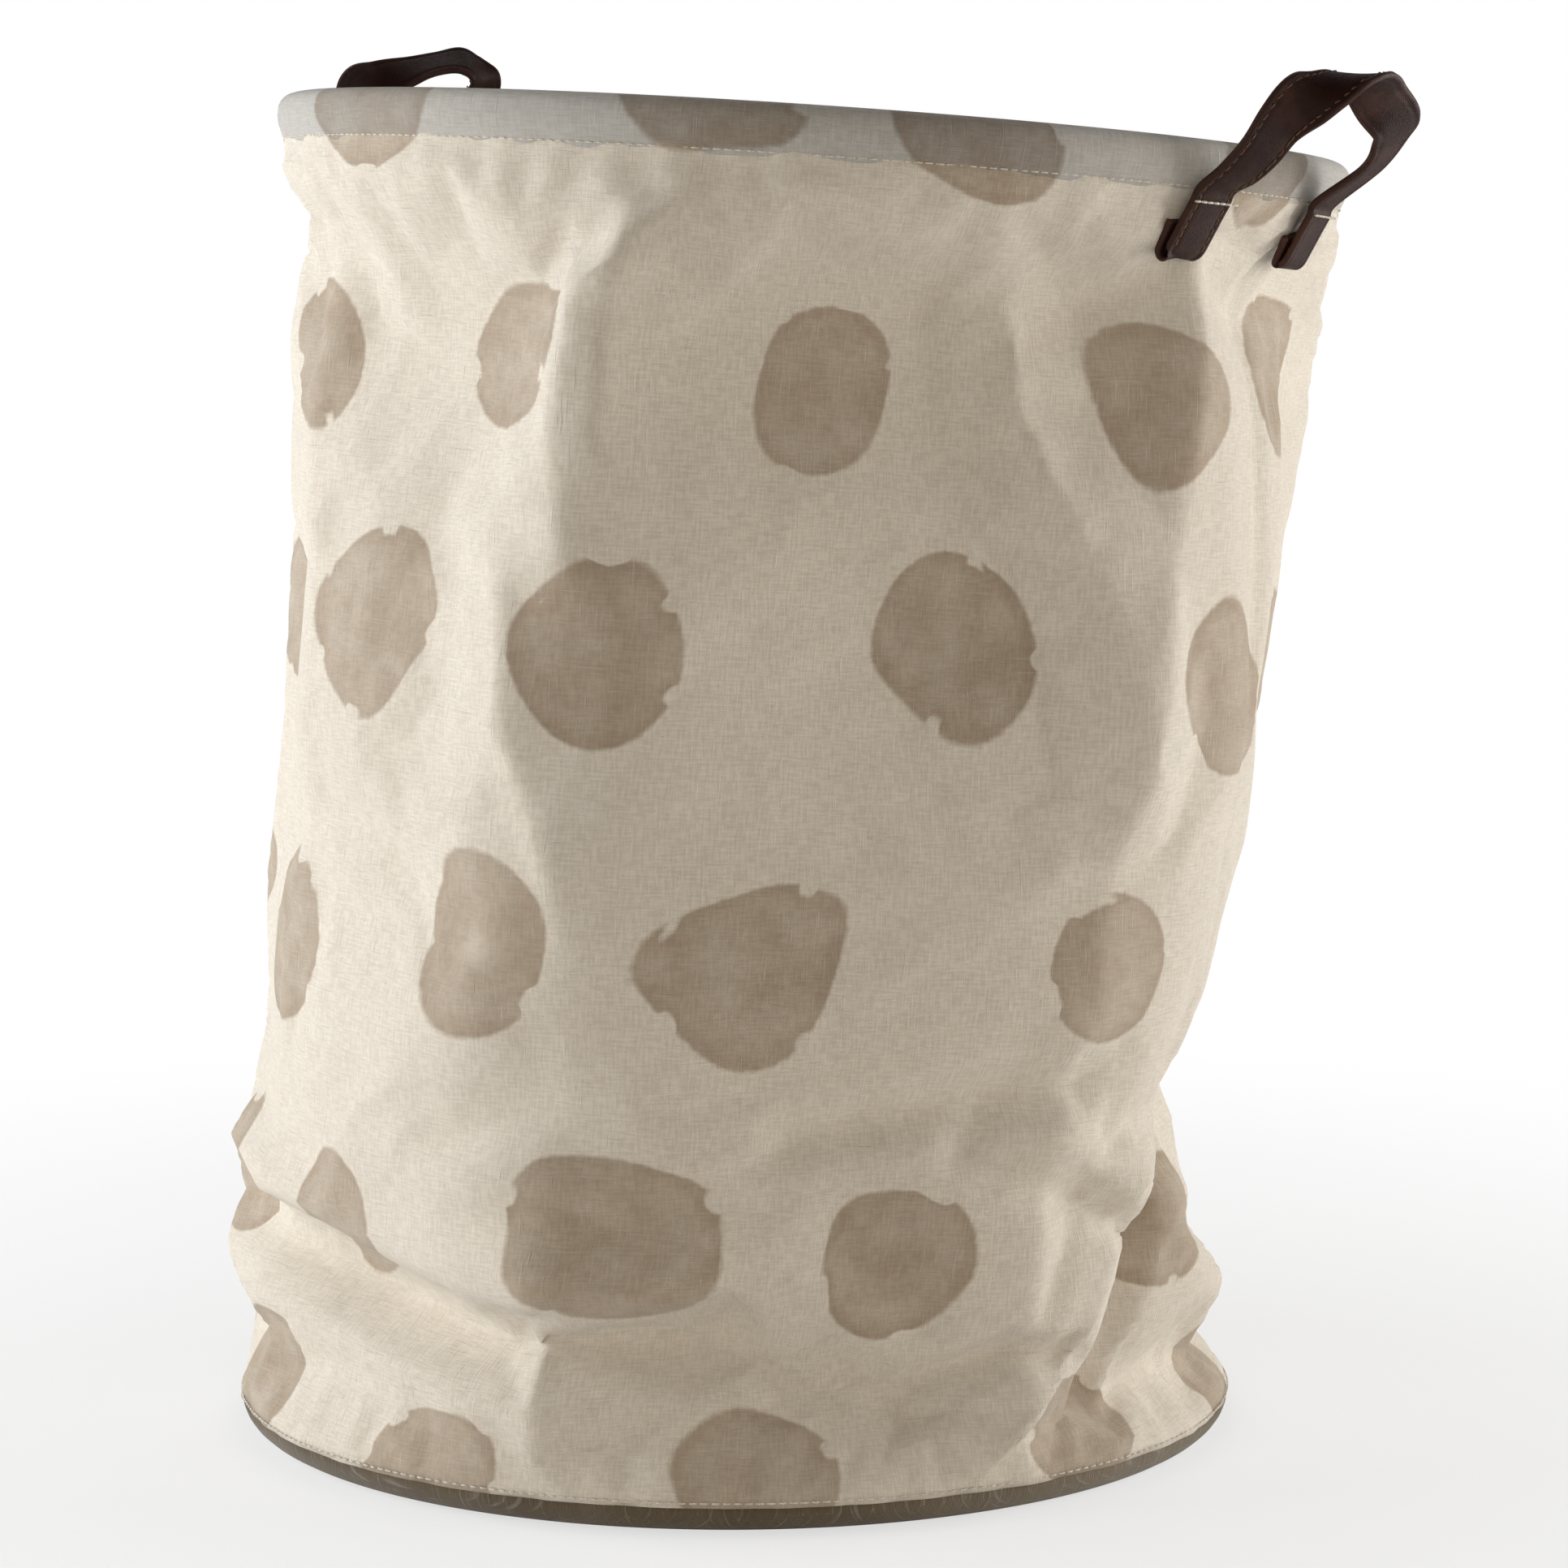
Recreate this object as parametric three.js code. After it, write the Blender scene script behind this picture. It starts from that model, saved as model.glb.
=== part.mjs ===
// A tall round fabric storage bin with a wire-hooped rim and two stitched strap handles.
// Units are millimetres, +Z is up, and the origin is the centre of the base's underside.
// The bin stands a little slumped: its rim has shifted and tips down towards LEAN_AZIMUTH.

import * as THREE from "three";
import { mergeVertices } from "three/addons/utils/BufferGeometryUtils.js";

// Driving dimensions of the bin.
const BASE_RADIUS = 168;
const RIM_RADIUS = 175;
const RIM_HEIGHT = 432;
const LEAN_AZIMUTH = THREE.MathUtils.degToRad(37.5);
const LEAN_SHIFT = 27;
const RIM_TILT = THREE.MathUtils.degToRad(3.8);

// Cloth and seams.
const CANVAS = 1.2;
const LINING = 0.6;
const TAPE = 0.8;
const GAP = 0.3;
const BASE_CURL = 9;
const FOOT_RADIUS = 158;
const HEM_DEPTH = 16.4;
const TAPE_WIDTH = 14;
const SIDE_SEAM_ANGLE = THREE.MathUtils.degToRad(8);
const THREAD = 0.35;
const HEM_SEAM_RISE = 1.2;
const TAPE_CLEARANCE = 1.2;

// Rim hoop and its crimped joiner.
const WIRE_RADIUS = 1.6;
const SLEEVE_WALL = 0.5;
const SLEEVE_LENGTH = 14;
const HEM_EASE = 0.9;
const HEM_MIDDLE = 0.1;
const SHOULDER_SHARE = 0.7;
const SHOULDER_WIDTH = 1;
const HEM_CAVITY = WIRE_RADIUS + SLEEVE_WALL + HEM_EASE;
const HOOP_DROP = HEM_CAVITY + CANVAS;
const HOOP_RADIUS = RIM_RADIUS - 2;

// Strap handles.
const STRAP_WIDTH = 18;
const STRAP_THICKNESS = 2.6;
const LEG_SPREAD = 33;
const TAB_LENGTH = 18;
const TUCK_LENGTH = 11;
const HINGE_ROOM = 1.7;
const STITCH_INSET = 2.6;
const HINGE_DROP = HEM_DEPTH;
const TAB_STANDOFF = 0.9;
const TAB_BEVEL = 1;

const ROUND_STEPS = 60;
const WALL_ROWS = 3;
const STRAP_STEPS = 24;
const FOLD_STEPS = 6;
const THREAD_SIDES = 4;

const canvasCloth = new THREE.MeshStandardMaterial({ color: 0xe6ddcb, roughness: 0.92, metalness: 0 });
const liningFilm = new THREE.MeshStandardMaterial({ color: 0xf1efe8, roughness: 0.55, metalness: 0 });
const seamTape = new THREE.MeshStandardMaterial({ color: 0xd9cfba, roughness: 0.9, metalness: 0 });
const baseCloth = new THREE.MeshStandardMaterial({ color: 0x8d7d61, roughness: 0.92, metalness: 0 });
const brownLeather = new THREE.MeshStandardMaterial({ color: 0x3a241f, roughness: 0.48, metalness: 0 });
const brownThread = new THREE.MeshStandardMaterial({ color: 0x6b4226, roughness: 0.7, metalness: 0 });
const creamThread = new THREE.MeshStandardMaterial({ color: 0xe9e2d4, roughness: 0.75, metalness: 0 });
const springSteel = new THREE.MeshStandardMaterial({ color: 0x9a9c9e, roughness: 0.35, metalness: 1 });

const bin = new THREE.Group();

// The rim's own frame: origin at the centre of the rim's top, tipped towards the lean.
const leanDirection = new THREE.Vector3(Math.cos(LEAN_AZIMUTH), Math.sin(LEAN_AZIMUTH), 0);
const tiltAxis = new THREE.Vector3(-leanDirection.y, leanDirection.x, 0);
const rim = new THREE.Group();
rim.position.copy(leanDirection).multiplyScalar(LEAN_SHIFT).setZ(RIM_HEIGHT);
rim.quaternion.setFromAxisAngle(tiltAxis, RIM_TILT);
rim.updateMatrixWorld(true);
bin.add(rim);

function addPiece(parent, name, geometry, material) {
  const mesh = new THREE.Mesh(geometry, material);
  mesh.name = name;
  parent.add(mesh);
  return mesh;
}

// A closed solid from a grid of section loops: rows of points, each loop running the same way
// round, with flat fans over the two ends unless the rows themselves close into a ring.
function loftedSolid(loops, ringed) {
  const sides = loops[0].length;
  const positions = loops.flat().flatMap((point) => [point.x, point.y, point.z]);
  const faces = [];
  const bands = ringed ? loops.length : loops.length - 1;
  for (let band = 0; band < bands; band += 1) {
    const here = band * sides;
    const next = ((band + 1) % loops.length) * sides;
    for (let side = 0; side < sides; side += 1) {
      const after = (side + 1) % sides;
      faces.push(here + side, here + after, next + after, here + side, next + after, next + side);
    }
  }
  if (!ringed) {
    const last = (loops.length - 1) * sides;
    for (let side = 1; side < sides - 1; side += 1) {
      faces.push(0, side + 1, side, last, last + side, last + side + 1);
    }
  }
  const geometry = new THREE.BufferGeometry();
  geometry.setAttribute("position", new THREE.Float32BufferAttribute(positions, 3));
  geometry.setIndex(faces);
  geometry.computeVertexNormals();
  return geometry;
}

// A point on the wall: up is 0 at the base seam and 1 at the hem stitch line, and inset is
// measured inwards from the cloth's outer face.
function wallPoint(angle, up, inset) {
  const low = new THREE.Vector3(
    (BASE_RADIUS - inset) * Math.cos(angle),
    (BASE_RADIUS - inset) * Math.sin(angle),
    BASE_CURL + GAP,
  );
  const high = new THREE.Vector3(
    (RIM_RADIUS - inset) * Math.cos(angle),
    (RIM_RADIUS - inset) * Math.sin(angle),
    -HEM_DEPTH - GAP,
  );
  return low.lerp(rim.localToWorld(high), up);
}

// One layer of the wall, between two insets, as a closed solid: all the way round when
// angles is null, or a strip between two angles.
function wallLayer(insetOut, insetIn, upLow, upHigh, angles) {
  const rows = upHigh < 1 ? 1 : WALL_ROWS;
  const count = angles ? angles.length : ROUND_STEPS;
  const loops = [];
  for (let step = 0; step < count; step += 1) {
    const angle = angles ? angles[step] : (step / count) * 2 * Math.PI;
    const loop = [];
    for (let row = 0; row <= rows; row += 1) {
      loop.push(wallPoint(angle, THREE.MathUtils.lerp(upLow, upHigh, row / rows), insetIn));
    }
    for (let row = rows; row >= 0; row -= 1) {
      loop.push(wallPoint(angle, THREE.MathUtils.lerp(upLow, upHigh, row / rows), insetOut));
    }
    loops.push(loop);
  }
  return loftedSolid(loops, !angles);
}

// A flat disc whose edge curls up to the base seam, as a profile for a lathe.
function dishProfile(inset, thickness) {
  const curl = BASE_CURL - inset;
  const edge = BASE_RADIUS - inset;
  const outer = new THREE.EllipseCurve(FOOT_RADIUS, BASE_CURL, edge - FOOT_RADIUS, curl, -Math.PI / 2, 0);
  const inner = new THREE.EllipseCurve(
    FOOT_RADIUS,
    BASE_CURL,
    edge - FOOT_RADIUS - thickness,
    curl - thickness,
    0,
    -Math.PI / 2,
    true,
  );
  return [
    new THREE.Vector2(0, inset),
    ...outer.getPoints(4),
    ...inner.getPoints(4),
    new THREE.Vector2(0, inset + thickness),
  ];
}

function latheAboutZ(profile) {
  return mergeVertices(new THREE.LatheGeometry(profile, ROUND_STEPS).rotateX(Math.PI / 2));
}

// A ring of round cord or wire in the XY plane.
function ring(radius, thickness, sides) {
  return new THREE.TorusGeometry(radius, thickness, sides, ROUND_STEPS);
}

// Base: the panel, its waterproof lining, the thread of the seam and the tape that binds it.
const liningInset = CANVAS + GAP;
const tapeInset = liningInset + LINING + GAP;
const tapeShare = TAPE_WIDTH / RIM_HEIGHT;
addPiece(bin, "base_panel", latheAboutZ(dishProfile(0, CANVAS)), baseCloth);
addPiece(bin, "base_lining", latheAboutZ(dishProfile(liningInset, LINING)), liningFilm);
const baseRing = ring(BASE_RADIUS + GAP + THREAD, THREAD, THREAD_SIDES);
const baseThread = addPiece(bin, "base_seam_thread", baseRing, creamThread);
baseThread.position.z = BASE_CURL;
const baseBinding = wallLayer(tapeInset, tapeInset + TAPE, 0, tapeShare, null);
addPiece(bin, "base_seam_tape", baseBinding, seamTape);

// Wall: the printed canvas, its lining and the tape over the upright seam inside.
addPiece(bin, "fabric_wall", wallLayer(0, CANVAS, 0, 1, null), canvasCloth);
const innerSkin = wallLayer(liningInset, liningInset + LINING, 0, 1, null);
addPiece(bin, "wall_lining", innerSkin, liningFilm);
const seamHalfAngle = TAPE_WIDTH / 2 / BASE_RADIUS;
const seamAngles = [-1, 0, 1].map((side) => SIDE_SEAM_ANGLE + side * seamHalfAngle);
const tapeFoot = tapeShare * TAPE_CLEARANCE;
const sideBinding = wallLayer(tapeInset, tapeInset + TAPE, tapeFoot, 1, seamAngles);
addPiece(bin, "side_seam_tape", sideBinding, seamTape);

// Rim: the hem folded over the hoop is open along its lower edge, where its two layers meet.
function hemProfile() {
  const middle = HOOP_RADIUS + HEM_MIDDLE;
  const shoulder = HEM_DEPTH * SHOULDER_SHARE;
  const legGap = GAP / 2;
  const outside = HEM_CAVITY + CANVAS;
  const overTop = new THREE.EllipseCurve(HOOP_RADIUS, -HOOP_DROP, outside, outside, 0, Math.PI);
  const underTop = new THREE.EllipseCurve(
    HOOP_RADIUS,
    -HOOP_DROP,
    HEM_CAVITY,
    HEM_CAVITY,
    Math.PI,
    0,
    true,
  );
  return [
    new THREE.Vector2(middle + legGap + CANVAS, -HEM_DEPTH),
    new THREE.Vector2(middle + legGap + CANVAS + SHOULDER_WIDTH, -shoulder),
    ...overTop.getPoints(FOLD_STEPS),
    new THREE.Vector2(middle - legGap - CANVAS - SHOULDER_WIDTH, -shoulder),
    new THREE.Vector2(middle - legGap - CANVAS, -HEM_DEPTH),
    new THREE.Vector2(middle - legGap, -HEM_DEPTH),
    new THREE.Vector2(middle - legGap - SHOULDER_WIDTH, -shoulder),
    ...underTop.getPoints(FOLD_STEPS),
    new THREE.Vector2(middle + legGap + SHOULDER_WIDTH, -shoulder),
    new THREE.Vector2(middle + legGap, -HEM_DEPTH),
    new THREE.Vector2(middle + legGap + CANVAS, -HEM_DEPTH),
  ];
}

addPiece(rim, "rim_casing", latheAboutZ(hemProfile()), canvasCloth);
const hoop = addPiece(rim, "rim_hoop", ring(HOOP_RADIUS, WIRE_RADIUS, 8), springSteel);
hoop.position.z = -HOOP_DROP;
const hemRing = ring(RIM_RADIUS + SHOULDER_WIDTH, THREAD, THREAD_SIDES);
const hemThread = addPiece(rim, "hem_thread", hemRing, creamThread);
hemThread.position.z = HEM_SEAM_RISE - HEM_DEPTH;

const sleeveSection = new THREE.Shape().absarc(0, 0, WIRE_RADIUS + GAP + SLEEVE_WALL, 0, 2 * Math.PI);
sleeveSection.holes.push(new THREE.Path().absarc(0, 0, WIRE_RADIUS + GAP, 0, 2 * Math.PI));
const sleeveGeometry = new THREE.ExtrudeGeometry(sleeveSection, {
  depth: SLEEVE_LENGTH,
  curveSegments: 10,
  bevelEnabled: false,
});
sleeveGeometry.translate(0, 0, -SLEEVE_LENGTH / 2).rotateX(Math.PI / 2);
const sleeve = addPiece(rim, "hoop_sleeve", sleeveGeometry, springSteel);
const halfStep = Math.PI / ROUND_STEPS;
sleeve.position.set(HOOP_RADIUS * Math.cos(halfStep), 0, -HOOP_DROP);
const sleeveTurn = new THREE.Group();
sleeveTurn.rotation.z = Math.PI / 2 + halfStep;
rim.add(sleeveTurn);
sleeveTurn.add(sleeve);

// Each handle's loop, as hand-set stations from its first leg to its second. Each gives the
// strap's middle, from the hinge line, and the way its width points: out, along, up. The right
// strap leans out over the floor, and the left one leans in over the rim.
const FIRST_LEG = { middle: [1, -LEG_SPREAD, HINGE_ROOM], across: [0.18, 0.98, 0] };
const SECOND_LEG = { middle: [1, LEG_SPREAD, HINGE_ROOM], across: [0.18, -0.98, 0] };
const RIGHT_LOOP = [
  FIRST_LEG,
  { middle: [8.5, -33, 6.5], across: [0.15, 0.98, -0.15] },
  { middle: [13.5, -30, 13.5], across: [0.3, 0.9, -0.3] },
  { middle: [15, -22.5, 22.5], across: [0.75, 0.5, -0.45] },
  { middle: [15, -11, 30], across: [0.9, 0.1, -0.4] },
  { middle: [16, -0.5, 34.5], across: [0.7, -0.45, -0.55] },
  { middle: [21, 7, 36], across: [0.2, -0.75, -0.65] },
  { middle: [25.5, 14, 33], across: [-0.05, -0.7, -0.7] },
  { middle: [28, 23, 27.5], across: [-0.2, -0.85, -0.5] },
  { middle: [24, 29.5, 21.5], across: [0, -0.95, -0.25] },
  { middle: [15.5, 33, 12.5], across: [0.2, -0.97, -0.15] },
  SECOND_LEG,
];
const LEFT_LOOP = [
  FIRST_LEG,
  { middle: [1.5, -31, 10], across: [0.25, 0.95, -0.1] },
  { middle: [-1, -27, 18.5], across: [0.3, 0.95, -0.15] },
  { middle: [-8, -22, 25.5], across: [0.25, 0.95, -0.1] },
  { middle: [-13, -18, 31.5], across: [0, 1, -0.1] },
  { middle: [-13, -14.5, 36], across: [-0.35, 0.9, -0.25] },
  { middle: [-10, -10, 38.5], across: [-0.45, 0.75, -0.5] },
  { middle: [-4.5, -4, 37], across: [-0.55, 0.65, -0.45] },
  { middle: [2, 2, 34], across: [-0.65, 0.45, -0.5] },
  { middle: [7.5, 11, 30], across: [-0.7, -0.1, -0.55] },
  { middle: [9.5, 20.5, 25], across: [-0.35, -0.8, -0.4] },
  { middle: [6, 29, 15.5], across: [0.05, -0.97, -0.15] },
  SECOND_LEG,
];

// A smooth line through one vector of each station.
function loopLine(stations, key) {
  return new THREE.CatmullRomCurve3(stations.map((station) => new THREE.Vector3(...station[key])));
}

// A flat strip along a loop: side and lift place its middle in the strap's own section, and
// columns are the lines along its faces, from -1 at one edge to 1 at the other.
function loopStrip(stations, width, thickness, side, lift, columns) {
  const loopMiddle = loopLine(stations, "middle");
  const loopAcross = loopLine(stations, "across");
  const loops = [];
  for (let step = 0; step <= STRAP_STEPS; step += 1) {
    const along = step / STRAP_STEPS;
    const middle = loopMiddle.getPoint(along);
    const tangent = loopMiddle.getTangent(along);
    const across = loopAcross.getPoint(along);
    across.addScaledVector(tangent, -across.dot(tangent)).normalize();
    const normal = across.clone().cross(tangent).normalize();
    middle.addScaledVector(across, side).addScaledVector(normal, lift);
    const face = (n) =>
      columns.map((a) =>
        middle
          .clone()
          .addScaledVector(across, (a * width) / 2)
          .addScaledVector(normal, (n * thickness) / 2),
      );
    loops.push([...face(1), ...face(-1).reverse()]);
  }
  return loftedSolid(loops, false);
}

// A sewn end of the strap: it lies on the wall below the hinge, folded back under itself.
function tabGeometry() {
  const outer = STRAP_THICKNESS / 2;
  const inner = -outer - GAP;
  const bottom = -HINGE_ROOM - TAB_LENGTH;
  const section = new THREE.Shape([
    new THREE.Vector2(outer, -HINGE_ROOM),
    new THREE.Vector2(-outer, -HINGE_ROOM),
    new THREE.Vector2(-outer, bottom + STRAP_THICKNESS),
    new THREE.Vector2(inner, bottom + STRAP_THICKNESS),
    new THREE.Vector2(inner, bottom + TUCK_LENGTH),
    new THREE.Vector2(inner - STRAP_THICKNESS, bottom + TUCK_LENGTH),
    new THREE.Vector2(inner - STRAP_THICKNESS, bottom + TAB_BEVEL),
    new THREE.Vector2(inner - STRAP_THICKNESS + TAB_BEVEL, bottom),
    new THREE.Vector2(outer - TAB_BEVEL, bottom),
    new THREE.Vector2(outer, bottom + TAB_BEVEL),
  ]);
  const geometry = new THREE.ExtrudeGeometry(section, { depth: STRAP_WIDTH, bevelEnabled: false });
  return geometry.translate(0, 0, -STRAP_WIDTH / 2).rotateX(Math.PI / 2);
}

// The hinge line stands off the wall by the tab's two layers.
const hingeStandoff = TAB_STANDOFF + 1.5 * STRAP_THICKNESS + GAP;
const legAngle = Math.asin(LEG_SPREAD / RIM_RADIUS);
const hingeReach = (RIM_RADIUS + hingeStandoff) * Math.cos(legAngle);
const stitchRow = STRAP_WIDTH / 2 - STITCH_INSET;
const stitchColumn = (2 * stitchRow) / STRAP_WIDTH;
const STRAP_COLUMNS = [-1, -stitchColumn, 0, stitchColumn, 1];

for (const [handle, turn, stations] of [["right", 0, RIGHT_LOOP], ["left", Math.PI, LEFT_LOOP]]) {
  const side = new THREE.Group();
  side.rotation.z = turn;
  rim.add(side);

  const loop = new THREE.Group();
  loop.position.set(hingeReach, 0, -HINGE_DROP);
  side.add(loop);
  const strap = loopStrip(stations, STRAP_WIDTH, STRAP_THICKNESS, 0, 0, STRAP_COLUMNS);
  addPiece(loop, `${handle}_strap`, strap, brownLeather);
  for (const [row, offset] of [["upper", -stitchRow], ["lower", stitchRow]]) {
    const lift = STRAP_THICKNESS / 2 + GAP + THREAD;
    const thread = loopStrip(stations, 2 * THREAD, 2 * THREAD, offset, lift, [-1, 1]);
    addPiece(loop, `${handle}_strap_thread_${row}`, thread, brownThread);
  }

  for (const [leg, way] of [["front", -1], ["back", 1]]) {
    const place = new THREE.Group();
    place.rotation.z = way * legAngle;
    side.add(place);
    const tab = addPiece(place, `${handle}_tab_${leg}`, tabGeometry(), brownLeather);
    tab.position.set(RIM_RADIUS + hingeStandoff, 0, -HINGE_DROP);
    const stitch = new THREE.BoxGeometry(2 * THREAD, STRAP_WIDTH - TAB_BEVEL, 2 * THREAD);
    const bar = addPiece(place, `${handle}_tab_stitch_${leg}`, stitch, creamThread);
    bar.position.set(
      RIM_RADIUS + hingeStandoff + STRAP_THICKNESS / 2 + GAP + THREAD,
      0,
      -HINGE_DROP - HINGE_ROOM - TAB_BEVEL,
    );
  }
}

export default bin;
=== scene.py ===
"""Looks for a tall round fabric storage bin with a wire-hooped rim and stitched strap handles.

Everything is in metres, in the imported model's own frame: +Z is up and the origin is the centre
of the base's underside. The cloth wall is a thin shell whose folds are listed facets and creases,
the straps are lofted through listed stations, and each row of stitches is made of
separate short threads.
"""

import math
import random

import bpy
import numpy as np
from mathutils import Matrix, Vector, noise


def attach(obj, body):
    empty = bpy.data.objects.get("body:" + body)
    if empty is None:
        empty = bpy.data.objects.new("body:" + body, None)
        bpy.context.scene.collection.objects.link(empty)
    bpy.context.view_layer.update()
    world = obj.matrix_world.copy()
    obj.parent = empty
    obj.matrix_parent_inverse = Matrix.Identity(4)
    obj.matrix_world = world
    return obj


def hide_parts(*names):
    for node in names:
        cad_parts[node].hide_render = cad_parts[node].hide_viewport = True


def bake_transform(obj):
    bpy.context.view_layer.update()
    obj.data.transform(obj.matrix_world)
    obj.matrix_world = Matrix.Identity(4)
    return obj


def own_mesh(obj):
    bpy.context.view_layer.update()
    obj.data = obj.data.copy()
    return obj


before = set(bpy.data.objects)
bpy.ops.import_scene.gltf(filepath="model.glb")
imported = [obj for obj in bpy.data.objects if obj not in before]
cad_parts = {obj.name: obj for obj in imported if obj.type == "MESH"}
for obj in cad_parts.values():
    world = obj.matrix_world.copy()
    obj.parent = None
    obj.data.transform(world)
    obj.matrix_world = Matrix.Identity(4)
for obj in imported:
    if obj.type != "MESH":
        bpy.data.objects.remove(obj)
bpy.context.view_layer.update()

# ---- Driving dimensions, in metres, and places read from the frame.

MM = 0.001
BASE_RADIUS = 168 * MM
RIM_RADIUS = 175 * MM
HOOP_RADIUS = 173 * MM
HOOP_DROP = 4.2 * MM
HEM_DEPTH = 16.4 * MM
BASE_CURL = 9 * MM
FOOT_RADIUS = 158 * MM
CANVAS = 1.2 * MM
LINING = 0.5 * MM
CIRCUMFERENCE = 2 * math.pi * RIM_RADIUS
STRAP_WIDTH = 18 * MM
STRAP_THICKNESS = 2.6 * MM
THREAD_PITCH = 0.75 * MM
VIEW_AZIMUTH = 37.5


def hoop_frame():
    """The rim's own frame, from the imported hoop: its centre, and a turn that tips +Z to its axis."""
    points = np.array([v.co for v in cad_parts["rim_hoop"].data.vertices])
    centre = (points.max(axis=0) + points.min(axis=0)) / 2
    axis = Vector(np.linalg.svd(points - points.mean(axis=0), full_matrices=False)[2][2])
    if axis.z < 0:
        axis.negate()
    turn = Vector((0, 0, 1)).rotation_difference(axis).to_matrix()
    origin = Vector(centre) + axis * HOOP_DROP
    return origin, turn


RIM_ORIGIN, RIM_TURN = hoop_frame()
RIM_AXIS = RIM_TURN @ Vector((0, 0, 1))
LEAN = math.atan2(RIM_ORIGIN.y, RIM_ORIGIN.x)
NEAR = math.radians(VIEW_AZIMUTH - 90)  # the side of the bin that faces the camera


def on_rim(x, y, z):
    """A point of the rim's own frame, in the row frame."""
    return RIM_ORIGIN + RIM_TURN @ Vector((x, y, z))


# ---- Mesh helpers.


def linked(name, data):
    """A new object in the scene."""
    thing = bpy.data.objects.new(name, data)
    bpy.context.scene.collection.objects.link(thing)
    return thing


def mesh_object(name, points, faces):
    """A smooth mesh from points and faces."""
    mesh = bpy.data.meshes.new(name)
    mesh.from_pydata(points, [], faces)
    mesh.update()
    mesh.polygons.foreach_set("use_smooth", [True] * len(mesh.polygons))
    return linked(name, mesh)


def grid_object(name, points, wrap_across=True, uv=None, caps=False):
    """A mesh from an array of rows of points. Rows close on themselves, and the last row joins
    the first if wrap_across is set; otherwise the ends are capped if caps is set."""
    rows, columns = points.shape[:2]
    i, j = np.meshgrid(np.arange(rows if wrap_across else rows - 1), np.arange(columns), indexing="ij")
    i, j = i.ravel(), j.ravel()
    i2, j2 = (i + 1) % rows, (j + 1) % columns
    faces = np.stack([i * columns + j, i2 * columns + j, i2 * columns + j2, i * columns + j2], 1)
    face_list = faces.tolist()
    if caps:
        face_list.append(list(range(columns)))
        face_list.append([(rows - 1) * columns + k for k in reversed(range(columns))])
    thing = mesh_object(name, points.reshape(-1, 3).tolist(), face_list)
    if uv is not None:
        corner = np.stack([uv[i, j], uv[i + 1, j], uv[i + 1, j2], uv[i, j2]], 1).reshape(-1, 2)
        flat = np.zeros((len(thing.data.loops), 2), np.float32)
        flat[: len(corner)] = corner
        thing.data.uv_layers.new(name="Cloth").data.foreach_set("uv", flat.ravel())
    return thing


def face_out(thing):
    """Turns a closed mesh's faces outwards."""
    corners = np.array([v.co for v in thing.data.vertices])
    volume = 0.0
    for polygon in thing.data.polygons:
        ids = list(polygon.vertices)
        for k in range(1, len(ids) - 1):
            a, b, c = corners[ids[0]], corners[ids[k]], corners[ids[k + 1]]
            volume += float(np.dot(a, np.cross(b, c)))
    if volume < 0:
        thing.data.flip_normals()
    return thing


def surface_normals(points):
    """Outward normals of a grid that closes along its first direction."""
    along = np.roll(points, -1, axis=0) - np.roll(points, 1, axis=0)
    up = np.gradient(points, axis=1)
    normal = np.cross(along, up)
    return normal / np.maximum(np.linalg.norm(normal, axis=2, keepdims=True), 1e-12)


def shell_object(name, points, uv, thickness):
    """A closed thin shell: points is its outer face, as columns round the bin by rows up it."""
    inner = points - surface_normals(points) * thickness
    loop = np.concatenate([points, inner[:, ::-1]], axis=1)
    uv_loop = np.concatenate([uv, uv[:, ::-1]], axis=1)
    return face_out(grid_object(name, loop, uv=uv_loop))


def join_parts(name, parts):
    """One mesh from several (vertices, faces) parts."""
    vertices, faces, start = [], [], 0
    for part_vertices, part_faces in parts:
        vertices.extend(part_vertices)
        faces.extend([[start + k for k in face] for face in part_faces])
        start += len(part_vertices)
    return mesh_object(name, [tuple(v) for v in vertices], faces)


STITCH_SIDES = 6
# Shares of the stitch's length, radius and lift, from one end to the other.
STITCH_PROFILE = (
    (-0.5, 0.35, -0.5),
    (-0.38, 0.85, 0.1),
    (0.0, 1.0, 0.45),
    (0.38, 0.85, 0.1),
    (0.5, 0.35, -0.5),
)


def stitch_part(middle, along, out, length, radius):
    """One stitch: a short thread that dips into the cloth at both ends."""
    side = along.cross(out).normalized()
    vertices, faces = [], []
    for place, swell, lift in STITCH_PROFILE:
        centre = middle + along * (place * length) + out * (lift * radius)
        for k in range(STITCH_SIDES):
            turn = 2 * math.pi * k / STITCH_SIDES
            reach = swell * radius
            vertices.append(centre + side * (math.cos(turn) * reach) + out * (math.sin(turn) * reach))
    rings = len(STITCH_PROFILE)
    for ring in range(rings - 1):
        for k in range(STITCH_SIDES):
            a = ring * STITCH_SIDES + k
            b = ring * STITCH_SIDES + (k + 1) % STITCH_SIDES
            faces.append([a, b, b + STITCH_SIDES, a + STITCH_SIDES])
    faces.append(list(reversed(range(STITCH_SIDES))))
    faces.append([(rings - 1) * STITCH_SIDES + k for k in range(STITCH_SIDES)])
    return vertices, faces


def smooth_step(low, high, value):
    """From 0 at low to 1 at high, level at both ends."""
    t = np.clip((value - low) / (high - low), 0, 1)
    return t * t * (3 - 2 * t)


# ---- Materials.


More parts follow.
